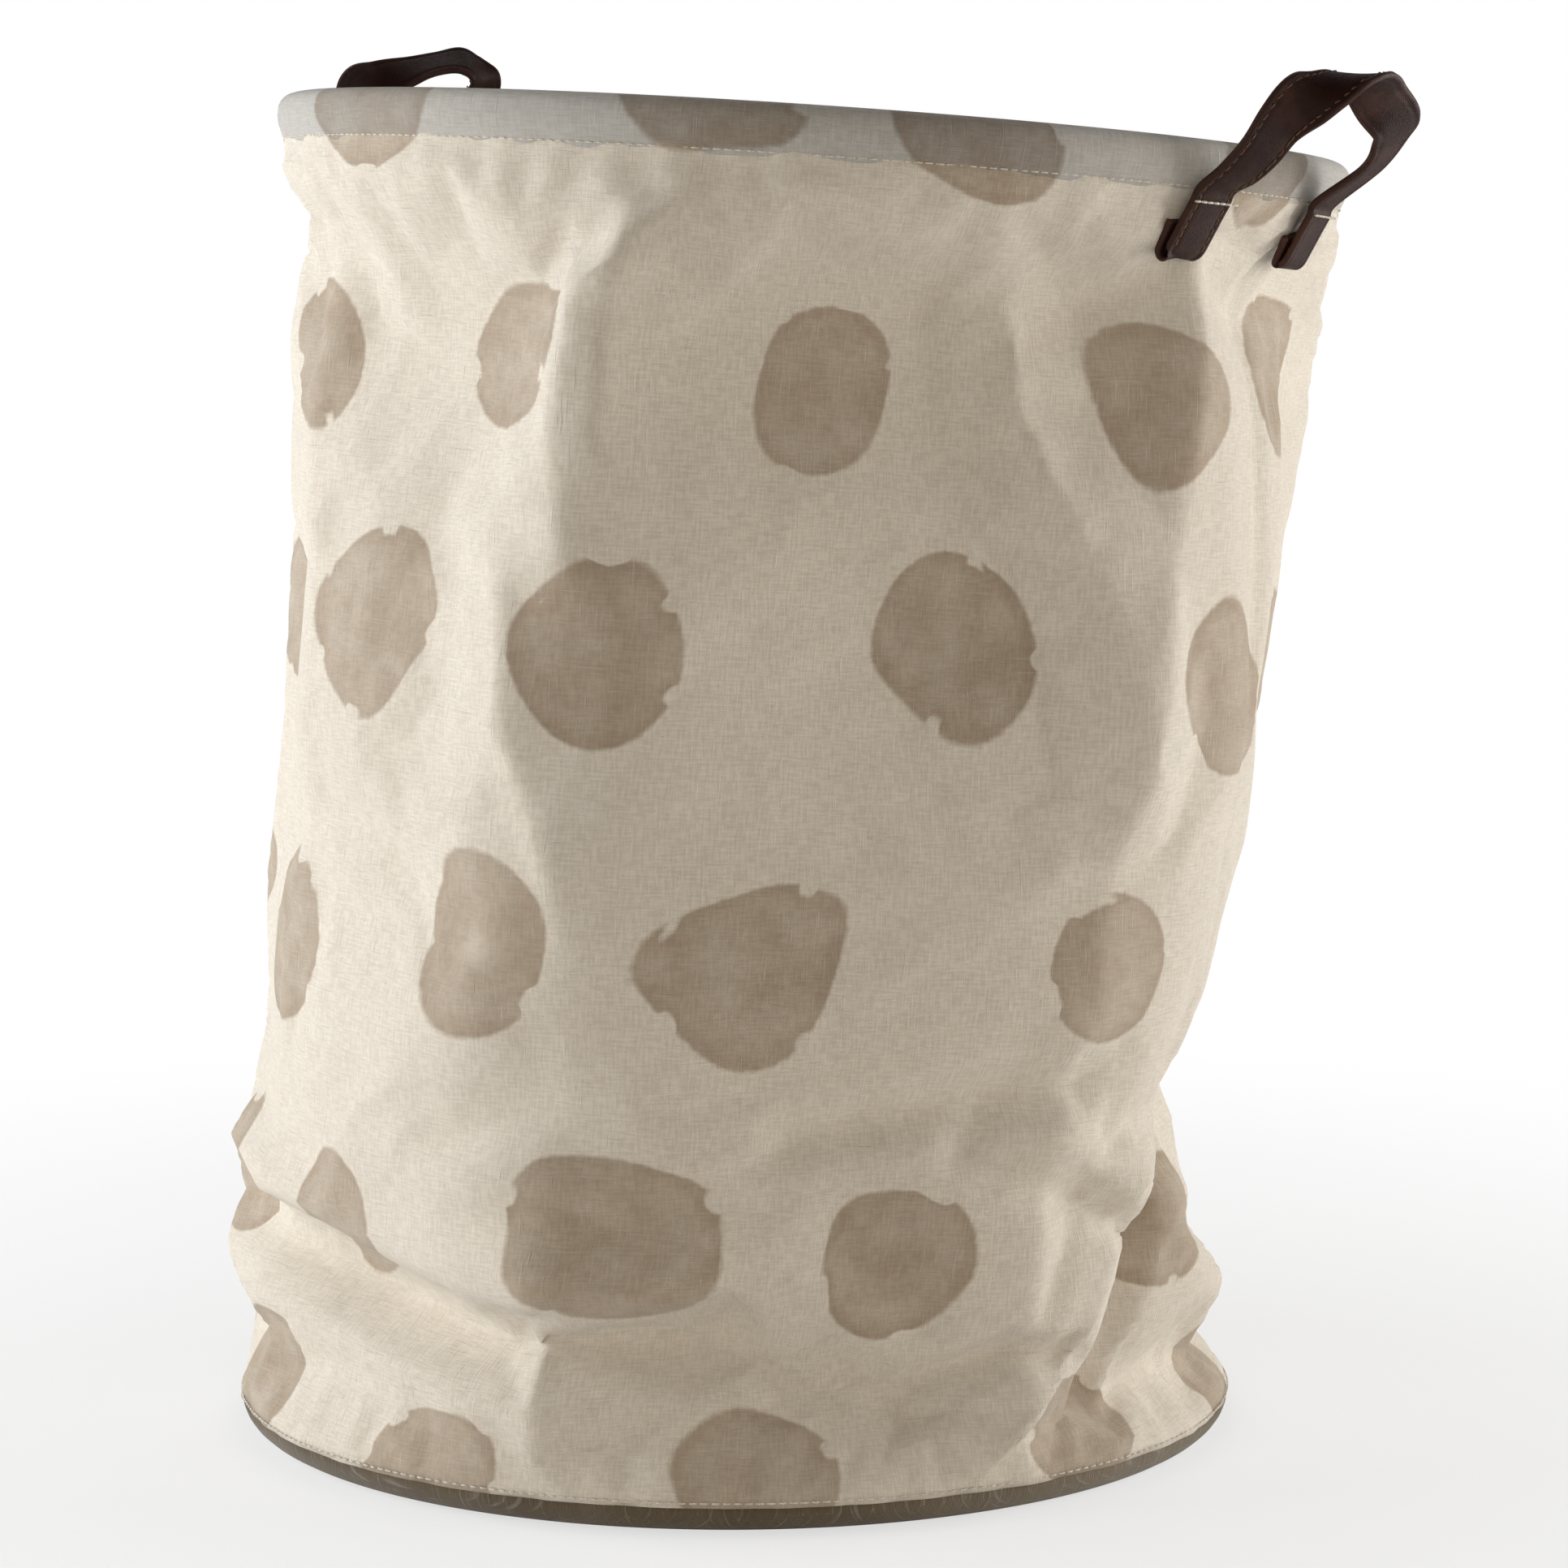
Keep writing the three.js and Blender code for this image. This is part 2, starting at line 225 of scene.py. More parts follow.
class Graph:
    """A material's node tree, built with short calls."""

    def __init__(self, name, roughness, specular=0.5, sheen=0.0):
        self.material = bpy.data.materials.new(name)
        self.material.use_nodes = True
        self.tree = self.material.node_tree
        self.shader = self.tree.nodes["Principled BSDF"]
        self.shader.inputs["Roughness"].default_value = roughness
        self.shader.inputs["Specular IOR Level"].default_value = specular
        self.shader.inputs["Sheen Weight"].default_value = sheen
        self.bump = None

    def node(self, kind, settings=None, **inputs):
        made = self.tree.nodes.new("ShaderNode" + kind)
        for key, value in (settings or {}).items():
            setattr(made, key, value)
        for key, value in inputs.items():
            self.feed(made.inputs[key.replace("_", " ")], value)
        return made

    def feed(self, socket, value):
        if isinstance(value, bpy.types.NodeSocket):
            self.tree.links.new(value, socket)
        else:
            socket.default_value = value

    def math(self, operation, *values):
        made = self.tree.nodes.new("ShaderNodeMath")
        made.operation = operation
        for socket, value in zip(made.inputs, values):
            self.feed(socket, value)
        return made.outputs[0]

    def mix(self, factor, a, b, blend_type="MIX"):
        made = self.tree.nodes.new("ShaderNodeMix")
        made.data_type = "RGBA"
        made.blend_type = blend_type
        self.feed(made.inputs[0], factor)
        self.feed(made.inputs[6], a)
        self.feed(made.inputs[7], b)
        return made.outputs[2]

    def noise(self, vector, scale, detail=3.0, roughness=0.55):
        made = self.node("TexNoise", Vector=vector, Scale=scale, Detail=detail, Roughness=roughness)
        return made.outputs["Fac"]

    def spread(self, value, low, high, to_low=0.0, to_high=1.0):
        made = self.node("MapRange", {"interpolation_type": "SMOOTHSTEP"})
        for socket, number in zip(made.inputs, (value, low, high, to_low, to_high)):
            self.feed(socket, number)
        return made.outputs[0]

    def add_bump(self, height, distance, strength=1.0):
        made = self.node("Bump", Height=height, Distance=distance, Strength=strength)
        if self.bump is not None:
            self.tree.links.new(self.bump, made.inputs["Normal"])
        self.bump = made.outputs[0]

    def finish(self, colour):
        self.feed(self.shader.inputs["Base Color"], colour)
        if self.bump is not None:
            self.tree.links.new(self.bump, self.shader.inputs["Normal"])
        return self.material


def split(graph, vector):
    """The first two parts of a vector."""
    made = graph.node("SeparateXYZ", Vector=vector)
    return made.outputs[0], made.outputs[1]


def join_xy(graph, x, y):
    """A vector from its first two parts."""
    return graph.node("CombineXYZ", X=x, Y=y).outputs[0]


def stretched_noise(graph, x, y, per_x, per_y, detail):
    """Noise with its own frequency, per metre of cloth, across and up."""
    place = join_xy(graph, graph.math("MULTIPLY", x, per_x), graph.math("MULTIPLY", y, per_y))
    return graph.noise(place, 1.0, detail)


STREAKS_PER_METRE = 150.0  # along a thread, how often it changes between thick and thin
SLUBS_PER_METRE = 70.0
SLUB_THREADS_PER_METRE = 1300.0


def weave(graph, x, y):
    """Plain weave with thick and thin threads, as a height and as light and dark threads."""
    warp_streaks = stretched_noise(graph, x, y, 1 / THREAD_PITCH, STREAKS_PER_METRE, 2.0)
    weft_streaks = stretched_noise(graph, x, y, STREAKS_PER_METRE, 1 / THREAD_PITCH, 2.0)
    warp = graph.math("SINE", graph.math("MULTIPLY", x, 2 * math.pi / THREAD_PITCH))
    weft = graph.math("SINE", graph.math("MULTIPLY", y, 2 * math.pi / THREAD_PITCH))
    threads = graph.math("MULTIPLY", warp, weft)
    streaks = graph.math("ADD", warp_streaks, weft_streaks)
    return threads, streaks


def slubs(graph, x, y):
    """Long thicker threads, now and then, in both directions."""
    across = stretched_noise(graph, x, y, SLUBS_PER_METRE, SLUB_THREADS_PER_METRE, 1.0)
    upright = stretched_noise(graph, x, y, SLUB_THREADS_PER_METRE, SLUBS_PER_METRE, 1.0)
    return graph.math("MAXIMUM", graph.spread(across, 0.6, 0.78), graph.spread(upright, 0.6, 0.78))


# The print: a staggered grid of round spots, each shifted, stretched and worn at its edge.
SPOT_COLUMNS = 10
SPOT_ROW = 97 * MM
SPOT_ROWS_UP = 0.356
SPOT_PHASE = 0.903
SPOT_SHIFT = (28 * MM, 20 * MM)
SPOT_RADIUS = 26.5 * MM
SPOT_GROWTH = 5 * MM
SPOT_STRETCH = (0.86, 0.34)
SPOT_WOBBLE = 27 * MM
SPOT_BITE = 3.6 * MM
SPOT_FRAY = 1.6 * MM


def spots(graph, x, y):
    """How deeply each place of the cloth is printed, from 0 on the bare ground."""

    def centred(value, reach):
        return graph.math("MULTIPLY", graph.math("SUBTRACT", value, 0.5), reach)

    def cell_noise(scale, detail=0.0):
        return graph.noise(here, scale, detail)

    column_width = CIRCUMFERENCE / SPOT_COLUMNS
    row_place = graph.math("ADD", graph.math("DIVIDE", y, SPOT_ROW), SPOT_ROWS_UP)
    row = graph.math("FLOOR", row_place)
    stagger = graph.math("MULTIPLY", graph.math("PINGPONG", row, 1.0), 0.5)
    across = graph.math("ADD", graph.math("DIVIDE", x, column_width), SPOT_PHASE)
    column_place = graph.math("ADD", across, stagger)
    column = graph.math("FLOORED_MODULO", graph.math("FLOOR", column_place), float(SPOT_COLUMNS))
    chance = graph.node(
        "TexWhiteNoise", {"noise_dimensions": "2D"}, Vector=join_xy(graph, column, row)
    ).outputs["Color"]
    first, second, third = graph.node("SeparateXYZ", Vector=chance).outputs

    local_x = centred(graph.math("FRACT", column_place), column_width)
    local_y = centred(graph.math("FRACT", row_place), SPOT_ROW)
    from_x = graph.math("SUBTRACT", local_x, centred(first, SPOT_SHIFT[0]))
    from_y = graph.math("SUBTRACT", local_y, centred(second, SPOT_SHIFT[1]))
    stretch = graph.math("ADD", graph.math("MULTIPLY", third, SPOT_STRETCH[1]), SPOT_STRETCH[0])
    distance = graph.node(
        "VectorMath",
        {"operation": "LENGTH"},
        Vector=join_xy(graph, graph.math("MULTIPLY", from_x, stretch), from_y),
    ).outputs["Value"]
    here = join_xy(
        graph,
        graph.math("ADD", local_x, graph.math("MULTIPLY", column, 0.37)),
        graph.math("ADD", local_y, graph.math("MULTIPLY", row, 0.53)),
    )
    bites = graph.math("MULTIPLY", graph.spread(cell_noise(70.0), 0.62, 0.76), SPOT_BITE)
    ragged = graph.math("ADD", bites, centred(cell_noise(300.0, 3.0), SPOT_FRAY))
    radius = graph.math("ADD", graph.math("MULTIPLY", second, SPOT_GROWTH), SPOT_RADIUS)
    edge = graph.math("SUBTRACT", distance, radius)
    edge = graph.math("ADD", edge, centred(cell_noise(21.0), SPOT_WOBBLE))
    edge = graph.math("ADD", edge, ragged)
    printed = graph.spread(edge, 1.0 * MM, -1.2 * MM)
    pool = graph.spread(edge, -7.5 * MM, -0.5 * MM)
    wash = graph.noise(here, 60.0, 4.0, 0.6)
    depth = graph.math("ADD", graph.math("MULTIPLY", wash, 0.95), graph.math("MULTIPLY", pool, 0.15))
    depth = graph.math("ADD", depth, 0.36)
    return graph.math("MULTIPLY", printed, depth)


# How much darker the print is than its ground, for red, green and blue.
PRINT_SHARE = (0.55, 0.475, 0.40)
LINEN_TAN = (0.62, 0.54, 0.43, 1.0)
FLECK_BROWN = (0.45, 0.36, 0.26, 1.0)
THREAD_SHADE = (0.42, 0.36, 0.28, 1.0)
THREAD_LIGHT = (1.0, 0.97, 0.90, 1.0)


def canvas_material(name, ground, printed=True):
    """Linen canvas: a weave with slubs and flecks, and the print if there is one."""
    graph = Graph(name, roughness=0.86, specular=0.25, sheen=0.25)
    graph.shader.inputs["Sheen Roughness"].default_value = 0.6
    coordinates = graph.node("UVMap", {"uv_map": "Cloth"}).outputs[0]
    x, y = split(graph, coordinates)
    threads, streaks = weave(graph, x, y)
    thick = slubs(graph, x, y)
    colour = (*ground, 1.0)
    if printed:
        taupe = (*(part * share for part, share in zip(ground, PRINT_SHARE)), 1.0)
        colour = graph.mix(spots(graph, x, y), colour, taupe)
    broad = graph.spread(graph.noise(coordinates, 9.0, 3.0), 0.35, 0.75, 0.0, 0.16)
    colour = graph.mix(broad, colour, LINEN_TAN)
    fleck = graph.noise(join_xy(graph, graph.math("MULTIPLY", x, 1.6), y), 900.0, 2.0)
    colour = graph.mix(graph.spread(fleck, 0.64, 0.72, 0.0, 0.45), colour, FLECK_BROWN)
    shade = graph.math("MULTIPLY", graph.spread(streaks, 0.75, 1.25), 0.26)
    colour = graph.mix(shade, colour, THREAD_SHADE, "MULTIPLY")
    colour = graph.mix(graph.math("MULTIPLY", thick, 0.10), colour, THREAD_LIGHT)
    graph.add_bump(threads, 0.12 * MM, 0.5)
    graph.add_bump(streaks, 0.25 * MM, 0.6)
    graph.add_bump(thick, 0.22 * MM, 0.7)
    graph.add_bump(graph.noise(coordinates, 70.0, 3.0), 1.0 * MM, 0.35)
    return graph.finish(colour)


LEATHER_DARK = (0.024, 0.0085, 0.0060, 1.0)
LEATHER_WORN = (0.050, 0.020, 0.0135, 1.0)
LEATHER_EDGE = (0.085, 0.042, 0.030, 1.0)


def leather_material(name):
    """Dark brown leather with fine pores, paler where it is rubbed and along its edges."""
    graph = Graph(name, roughness=0.5, specular=0.14)
    coordinates = graph.node("TexCoord").outputs["Object"]
    pores = graph.node(
        "TexVoronoi", {"feature": "DISTANCE_TO_EDGE"}, Vector=coordinates, Scale=1500.0
    ).outputs["Distance"]
    grain = graph.noise(coordinates, 950.0, 4.0)
    wear = graph.noise(coordinates, 55.0, 4.0)
    colour = graph.mix(graph.spread(wear, 0.45, 0.72), LEATHER_DARK, LEATHER_WORN)
    edge = graph.node("NewGeometry").outputs["Pointiness"]
    colour = graph.mix(graph.spread(edge, 0.53, 0.62, 0.0, 0.7), colour, LEATHER_EDGE)
    graph.feed(graph.shader.inputs["Roughness"], graph.spread(grain, 0.3, 0.7, 0.42, 0.58))
    graph.add_bump(graph.spread(pores, 0.0, 0.25), 0.10 * MM, 0.6)
    graph.add_bump(grain, 0.12 * MM, 0.5)
    graph.add_bump(wear, 0.6 * MM, 0.3)
    return graph.finish(colour)


def thread_material(name, colour, dark):
    """Twisted sewing thread."""
    graph = Graph(name, roughness=0.7, specular=0.3)
    twist = graph.noise(graph.node("TexCoord").outputs["Object"], 2600.0, 2.0)
    graph.add_bump(twist, 0.10 * MM, 0.8)
    return graph.finish(graph.mix(graph.spread(twist, 0.4, 0.65), (*dark, 1.0), (*colour, 1.0)))


FILM_WHITE = (0.80, 0.79, 0.75, 1.0)
FILM_GREY = (0.72, 0.70, 0.65, 1.0)


def lining_material(name):
    """A thin coated lining, a little glossy, with the cloth's weave showing through."""
    graph = Graph(name, roughness=0.42, specular=0.4)
    coordinates = graph.node("UVMap", {"uv_map": "Cloth"}).outputs[0]
    streaks = weave(graph, *split(graph, coordinates))[1]
    clouds = graph.noise(coordinates, 22.0, 4.0)
    colour = graph.mix(graph.spread(clouds, 0.35, 0.7), FILM_WHITE, FILM_GREY)
    graph.feed(graph.shader.inputs["Roughness"], graph.spread(clouds, 0.3, 0.7, 0.34, 0.5))
    graph.add_bump(streaks, 0.15 * MM, 0.4)
    graph.add_bump(clouds, 1.5 * MM, 0.5)
    return graph.finish(colour)


STEEL_LIGHT = (0.60, 0.60, 0.61, 1.0)
STEEL_DARK = (0.40, 0.39, 0.38, 1.0)


def steel_material(name):
    """Drawn spring steel."""
    graph = Graph(name, roughness=0.32)
    graph.shader.inputs["Metallic"].default_value = 1.0
    drawn = graph.noise(graph.node("TexCoord").outputs["Object"], 700.0, 3.0)
    graph.add_bump(drawn, 0.05 * MM, 0.5)
    return graph.finish(graph.mix(graph.spread(drawn, 0.4, 0.7), STEEL_LIGHT, STEEL_DARK))


CREAM = (0.78, 0.715, 0.615)
# The hem is the wall's own cream canvas. This darker grey is painted shade on the hem's tube.
HEM_PAINTED_SHADE_GREY = (0.50, 0.485, 0.455)
# The base is beige cloth. This dark brown is painted shade for its curled edge, which sits in shadow
# by the floor.
BASE_PAINTED_SHADE = (0.095, 0.066, 0.030)
TAPE_CREAM = (0.76, 0.70, 0.60)
canvas = canvas_material("canvas", CREAM)
# The hem's cloth, painted darker grey as shade.
shaded_hem_canvas = canvas_material("shaded_hem_canvas", HEM_PAINTED_SHADE_GREY)
# The base's cloth, painted dark brown as shade.
shaded_base_canvas = canvas_material("shaded_base_canvas", BASE_PAINTED_SHADE, printed=False)
tape_cloth = canvas_material("tape_cloth", TAPE_CREAM, printed=False)
leather = leather_material("leather")
brown_thread = thread_material("brown_thread", (0.21, 0.11, 0.055), (0.09, 0.045, 0.025))
cream_thread = thread_material("cream_thread", (0.86, 0.81, 0.72), (0.55, 0.50, 0.42))
white_lining = lining_material("white_lining")
steel = steel_material("steel")


def dress(thing, material):
    """Gives a piece its one material."""
    thing.data.materials.clear()
    thing.data.materials.append(material)


def fit(thing, material, body, node):
    """Dresses a piece, fixes it to a body and puts it in the place of a CAD node."""
    dress(thing, material)
    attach(thing, body)
    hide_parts(node)
    return thing


# ---- The wall: a leaning tube, cut back to flat facets and pinched into creases.
# Angles are in degrees to the right of the side that faces the camera, heights and depths in
# millimetres.

WALL_COLUMNS = 300
WALL_ROWS = 124
WALL_FOOT = 9
HEM_HEIGHT = 416
TUBE_RADIUS = 170.0
FACET_BLEND = 1.1  # how softly a facet runs into the tube
TAB_SLOPE = 0.52  # how far the wall goes in under the straps, per unit of drop

# Flat facets: angle, height, upward tilt in degrees, and how far inside the tube.
FACETS = [
    (4, 330, 3.0, 11),
    (6, 210, -2.5, 12),
    (14, 120, 3.5, 12),
    (-52, 340, -3.0, 2),
    (-48, 215, 5.0, 8),
    (-44, 120, -4.0, 7),
    (54, 345, -2.0, 5),
    (64, 265, 4.0, 4),
    (62, 165, -4.0, 5),
    (84, 350, -3.0, 11),
    (-84, 205, 2.0, 12),
    (-80, 300, -2.0, 0),
    (110, 300, 3.0, 10),
    (118, 180, -3.0, 11),
    (140, 90, 4.0, 9),
    (150, 330, -4.0, 8),
    (166, 220, 4.0, 12),
    (-170, 120, -3.0, 9),
    (-158, 330, 3.0, 9),
    (-140, 220, -4.0, 11),
    (-125, 110, 4.0, 8),
    (-112, 320, 2.0, 6),
]

# Creases: points as (angle, height), then height out of the wall and half width either side.
CREASES = [
    (
        [
            (-11, 412),
            (-23, 372),
            (-24, 335),
            (-22.5, 298),
            (-29, 290),
            (-27.5, 247),
            (-21, 204),
            (-20, 190),
        ],
        7.0,
        30,
    ),
    ([(-12, 412), (-22, 376)], 2.5, 12),
    ([(-29, 291), (-27.5, 247), (-21, 206)], 2.0, 10),
    ([(23, 372), (25, 342), (32, 308), (37, 280), (40, 235)], 7.5, 26),
    ([(25, 341), (31, 310)], 2.0, 9),
    ([(4, 127), (20, 136), (36, 141)], -7.0, 13),
    ([(24, 121), (34, 108), (44, 94)], -5.0, 12),
    ([(-2, 76), (1, 58), (5, 41)], -4.0, 13),
    ([(10, 58), (19, 34)], -3.5, 11),
    ([(20, 45), (29, 53), (38, 51)], -3.0, 10),
    ([(-82, 70), (-50, 62), (-28, 56), (-4, 60)], -12.0, 20),
    ([(-90, 96), (-60, 92), (-32, 84), (-10, 82)], 6.0, 16),
    ([(48, 110), (44, 91), (42.5, 77), (38, 50), (32, 30), (29, 20)], 9.0, 20),
    ([(56, 108), (52, 84), (49, 60), (44, 34)], -9.0, 14),
    ([(64, 92), (70, 64), (74, 34)], 9.0, 26),
    ([(60, 400), (62, 330), (60, 240), (63, 150)], -2.5, 9),
    ([(-60, 402), (-55, 360), (-64, 300)], 3.0, 16),
    ([(-78, 190), (-60, 214), (-42, 206), (-27, 226)], -4.0, 18),
    ([(-66, 150), (-50, 120), (-30, 112)], 3.0, 18),
    ([(-34, 108), (-10, 118), (6, 126)], 2.5, 16),
    ([(-6, 260), (10, 244), (30, 252)], -1.6, 26),
    ([(92, 380), (100, 320), (96, 250), (108, 170)], 4.5, 24),
    ([(100, 110), (125, 122), (150, 110)], -4.5, 18),
    ([(128, 400), (134, 330), (126, 270), (138, 200)], 4.0, 22),
    ([(160, 380), (174, 300), (165, 230)], 4.0, 22),
    ([(176, 150), (-166, 110), (-172, 60)], -4.0, 18),
    ([(-150, 390), (-156, 310), (-146, 250), (-154, 170)], 4.0, 24),
    ([(-132, 130), (-118, 150), (-100, 120)], -4.0, 18),
    ([(-122, 380), (-128, 290), (-118, 220)], 3.5, 20),
    ([(-100, 290), (-94, 230), (-104, 170)], 4.0, 22),
    ([(104, 70), (125, 48), (150, 60)], 4.0, 18),
    ([(-150, 66), (-128, 44), (-104, 60)], 4.0, 18),
]


def wrapped(angle):
    """An angle in degrees, from -180 to 180."""
    return (angle + 180) % 360 - 180


def distance_to_line(angle, height, route, radius):
    """How far each point of the flat wall is from a line through (angle, height) points."""
    best = np.full(angle.shape, np.inf)
    for (a0, z0), (a1, z1) in zip(route[:-1], route[1:]):
        x = np.radians(wrapped(angle - a0)) * radius
        dx = math.radians(wrapped(a1 - a0)) * radius
        y, dy = height - z0, z1 - z0
        t = np.clip((x * dx + y * dy) / (dx * dx + dy * dy), 0, 1)
        best = np.minimum(best, np.hypot(x - t * dx, y - t * dy))
    return best


CRUMPLE_RADIUS = 172


def crumple(columns, rows, seed, count):
    """Small random creases all round, the same on each run, as an offset in millimetres."""
    draw = random.Random(seed)
    offset = np.zeros(columns.shape)
    for _ in range(count):
        angle, height = draw.uniform(-180, 180), draw.uniform(20, 400)
        heading, reach = draw.uniform(-1.2, 1.2), draw.uniform(18, 55)
        turn = math.degrees(math.cos(heading) * reach / CRUMPLE_RADIUS)
        tip = (angle + turn, height + math.sin(heading) * reach)
        bend_angle = angle + (tip[0] - angle) * 0.5 + draw.uniform(-2, 2)
        bend = (bend_angle, (height + tip[1]) / 2 + draw.uniform(-6, 6))
        away = distance_to_line(columns, rows, [(angle, height), bend, tip], CRUMPLE_RADIUS)
        depth, width = draw.uniform(-1.5, 1.3), draw.uniform(7, 16)
        offset += depth * np.maximum(0, 1 - away / width)
    return offset


# Round swellings: angle, height, half width in degrees and in height, and how far out.
SWELLINGS = [
    (-86, 352, 34, 46, 8),
    (-78, 60, 30, 26, 9),
    (-40, 34, 40, 26, 5),
    (-2, 30, 26, 22, 5),
    (84, 116, 30, 66, -24),
    (58, 124, 18, 40, -6),
    (70, 56, 22, 34, 11),
    (20, 175, 30, 40, 3),
    (-35, 160, 24, 36, 4),
    (-45, 260, 22, 40, 5),
    (45, 250, 20, 50, 4),
    (115, 50, 30, 30, 5),
    (165, 60, 30, 30, 5),
    (-130, 50, 30, 30, 6),
    (140, 260, 30, 60, 5),
    (-165, 300, 30, 50, 5),
    (-120, 240, 24, 50, 5),
]


def handle_neck(columns, rows):
    """The wall goes in under the hem where the straps pull on it."""
    drop = HEM_HEIGHT - rows
    neck = np.zeros(columns.shape)
    for centre in (90 - VIEW_AZIMUTH, -90 - VIEW_AZIMUTH):
        near = 1 - smooth_step(20, 36, np.abs(wrapped(columns - centre)))
        neck -= near * np.minimum(TAB_SLOPE * drop, 7.0) * (1 - smooth_step(24, 60, drop))
    return neck


def wall_offset(columns, rows):
    """How far the cloth stands out from the plain tube, in millimetres."""
    plain = np.full(columns.shape, TUBE_RADIUS)
    surface = plain + 1.5
    for angle, height, tilt, depth in FACETS:
        turn = np.radians(wrapped(columns - angle))
        facing = np.maximum(np.cos(turn), 0.2)
        plane = (TUBE_RADIUS - depth - (rows - height) * math.tan(math.radians(tilt))) / facing
        gap = np.clip((plane - surface) / FACET_BLEND, -40, 40)
        surface = surface - FACET_BLEND * np.log1p(np.exp(-gap))
    offset = surface - plain
    for angle, height, wide, tall, out in SWELLINGS:
        reach = np.hypot(wrapped(columns - angle) / wide, (rows - height) / tall)
        offset += out * (1 - smooth_step(0, 1, reach))
    for route, out, width in CREASES:
        away = distance_to_line(columns, rows, route, TUBE_RADIUS)
        offset += out * np.maximum(0, 1 - away / width)
    offset += crumple(columns, rows, 11, 150)
    return offset


def cloth_height(height):
    """How far up the flat cloth a height is: there is slack above the base and under the hem."""
    heights = np.arange(0, HEM_HEIGHT + 1.0)
    slack = 0.31 * (1 - smooth_step(60, 110, heights))
    lengths = np.cumsum(1.08 + slack + 0.42 * smooth_step(350, 390, heights))
    return np.interp(height, heights, lengths) - np.interp(BASE_CURL / MM, heights, lengths)


def wall_grid(top_tuck):
    """The wall's surface as columns by rows of points, with its flat-cloth coordinates."""
    angles = np.linspace(0, 2 * math.pi, WALL_COLUMNS, endpoint=False)
    ups = np.linspace(0, 1, WALL_ROWS)
    heights = ups * (HEM_HEIGHT - WALL_FOOT) + WALL_FOOT
    outward = np.stack([np.cos(angles), np.sin(angles), np.zeros(WALL_COLUMNS)], 1)
    low = outward * BASE_RADIUS + np.array([0, 0, BASE_CURL])
    high = np.array(
        [on_rim(RIM_RADIUS * math.cos(a), RIM_RADIUS * math.sin(a), -HEM_DEPTH) for a in angles]
    )
    points = low[:, None] * (1 - ups[None, :, None]) + high[:, None] * ups[None, :, None]
    columns, rows = np.meshgrid(np.degrees(angles) - math.degrees(NEAR), heights, indexing="ij")
    offset = wall_offset(wrapped(columns), rows)
    near_base = smooth_step(0, 26, rows - WALL_FOOT)
    near_rim = smooth_step(0, 40, HEM_HEIGHT - rows)
    puckers = np.array([[noise.noise((a * 14, 0.3, 2.0)) for a in angles]]).T
    gathers = 1.3 * puckers * np.exp(-np.maximum(0, HEM_HEIGHT - rows) / 16)
    base_gathers = 1.2 * np.roll(puckers, 40, axis=0) * np.exp(-np.maximum(0, rows - WALL_FOOT) / 10)
    neck = handle_neck(wrapped(columns), rows)
    offset = offset * near_base * near_rim + gathers + base_gathers + neck
    points = points + outward[:, None] * (offset[:, :, None] * MM)
    tuck = top_tuck * (0.6 - 0.4 * np.cos(angles - LEAN))
    tucked = points[:, -1:] + np.array(RIM_AXIS) * tuck[:, None, None]
    points = np.concatenate([points, tucked], axis=1)
    u = np.linspace(0, CIRCUMFERENCE, WALL_COLUMNS + 1)
    cloth = cloth_height(heights) * MM
    v = np.append(cloth, cloth[-1] + top_tuck)
    return points, np.stack(np.meshgrid(u, v, indexing="ij"), axis=2)


SETTLE_FRAMES = 16
CLOTH_EASE = 0.030  # how much larger the cloth is than its listed folds


def settle(points):
    """Lets the cloth relax from the listed folds. It is a little larger than the folds allow
    for and is held at its two seams, so it buckles into sharp creases of its own."""
    columns, rows = points.shape[:2]
    i, j = np.meshgrid(np.arange(columns), np.arange(rows - 1), indexing="ij")
    i, j, i2 = i.ravel(), j.ravel(), (i.ravel() + 1) % columns
    faces = np.stack([i * rows + j, i2 * rows + j, i2 * rows + j + 1, i * rows + j + 1], 1)
    mesh = bpy.data.meshes.new("loose_wall")
    mesh.from_pydata(points.reshape(-1, 3).tolist(), [], faces.tolist())
    loose = linked("loose_wall", mesh)
    scene = bpy.context.scene
    seams = loose.vertex_groups.new(name="seams")
    held = [c * rows + r for c in range(columns) for r in (0, 1, rows - 2, rows - 1)]
    seams.add(held, 1.0, "REPLACE")
    modifier = loose.modifiers.new("settle", "CLOTH")
    cloth = modifier.settings
    cloth.quality = 6
    cloth.mass = 0.3
    cloth.air_damping = 2.0
    cloth.tension_stiffness = 20.0
    cloth.compression_stiffness = 20.0
    cloth.shear_stiffness = 9.0
    cloth.bending_model = "ANGULAR"
    cloth.bending_stiffness = 0.7
    cloth.vertex_group_mass = "seams"
    cloth.shrink_min = -CLOTH_EASE
    cloth.effector_weights.gravity = 0.0
    modifier.collision_settings.use_collision = False
    modifier.point_cache.frame_start = 1
    modifier.point_cache.frame_end = SETTLE_FRAMES
    for frame_number in range(1, SETTLE_FRAMES + 1):
        scene.frame_set(frame_number)
    shown = loose.evaluated_get(bpy.context.evaluated_depsgraph_get()).data
    settled = np.empty(len(shown.vertices) * 3, np.float32)
    shown.vertices.foreach_get("co", settled)
    scene.frame_set(1)
    bpy.data.objects.remove(loose)
    return settled.reshape(points.shape).astype(float)


TUCK = 8 * MM
LINING_GAP = CANVAS + 0.5 * MM
wall_points, wall_uv = wall_grid(TUCK)
wall_points[:, :-1] = settle(wall_points[:, :-1])
lining_points = wall_points - surface_normals(wall_points) * LINING_GAP
wall = shell_object("wall_cloth", wall_points, wall_uv, CANVAS)
fit(wall, canvas, "bin", "fabric_wall")
lining = shell_object("lining_cloth", lining_points, wall_uv, LINING)
fit(lining, white_lining, "bin", "wall_lining")

# ---- Base: panel, lining, binding tape and the seam's stitches.

ROUND = 240
AXIS_HOLE = 0.4 * MM


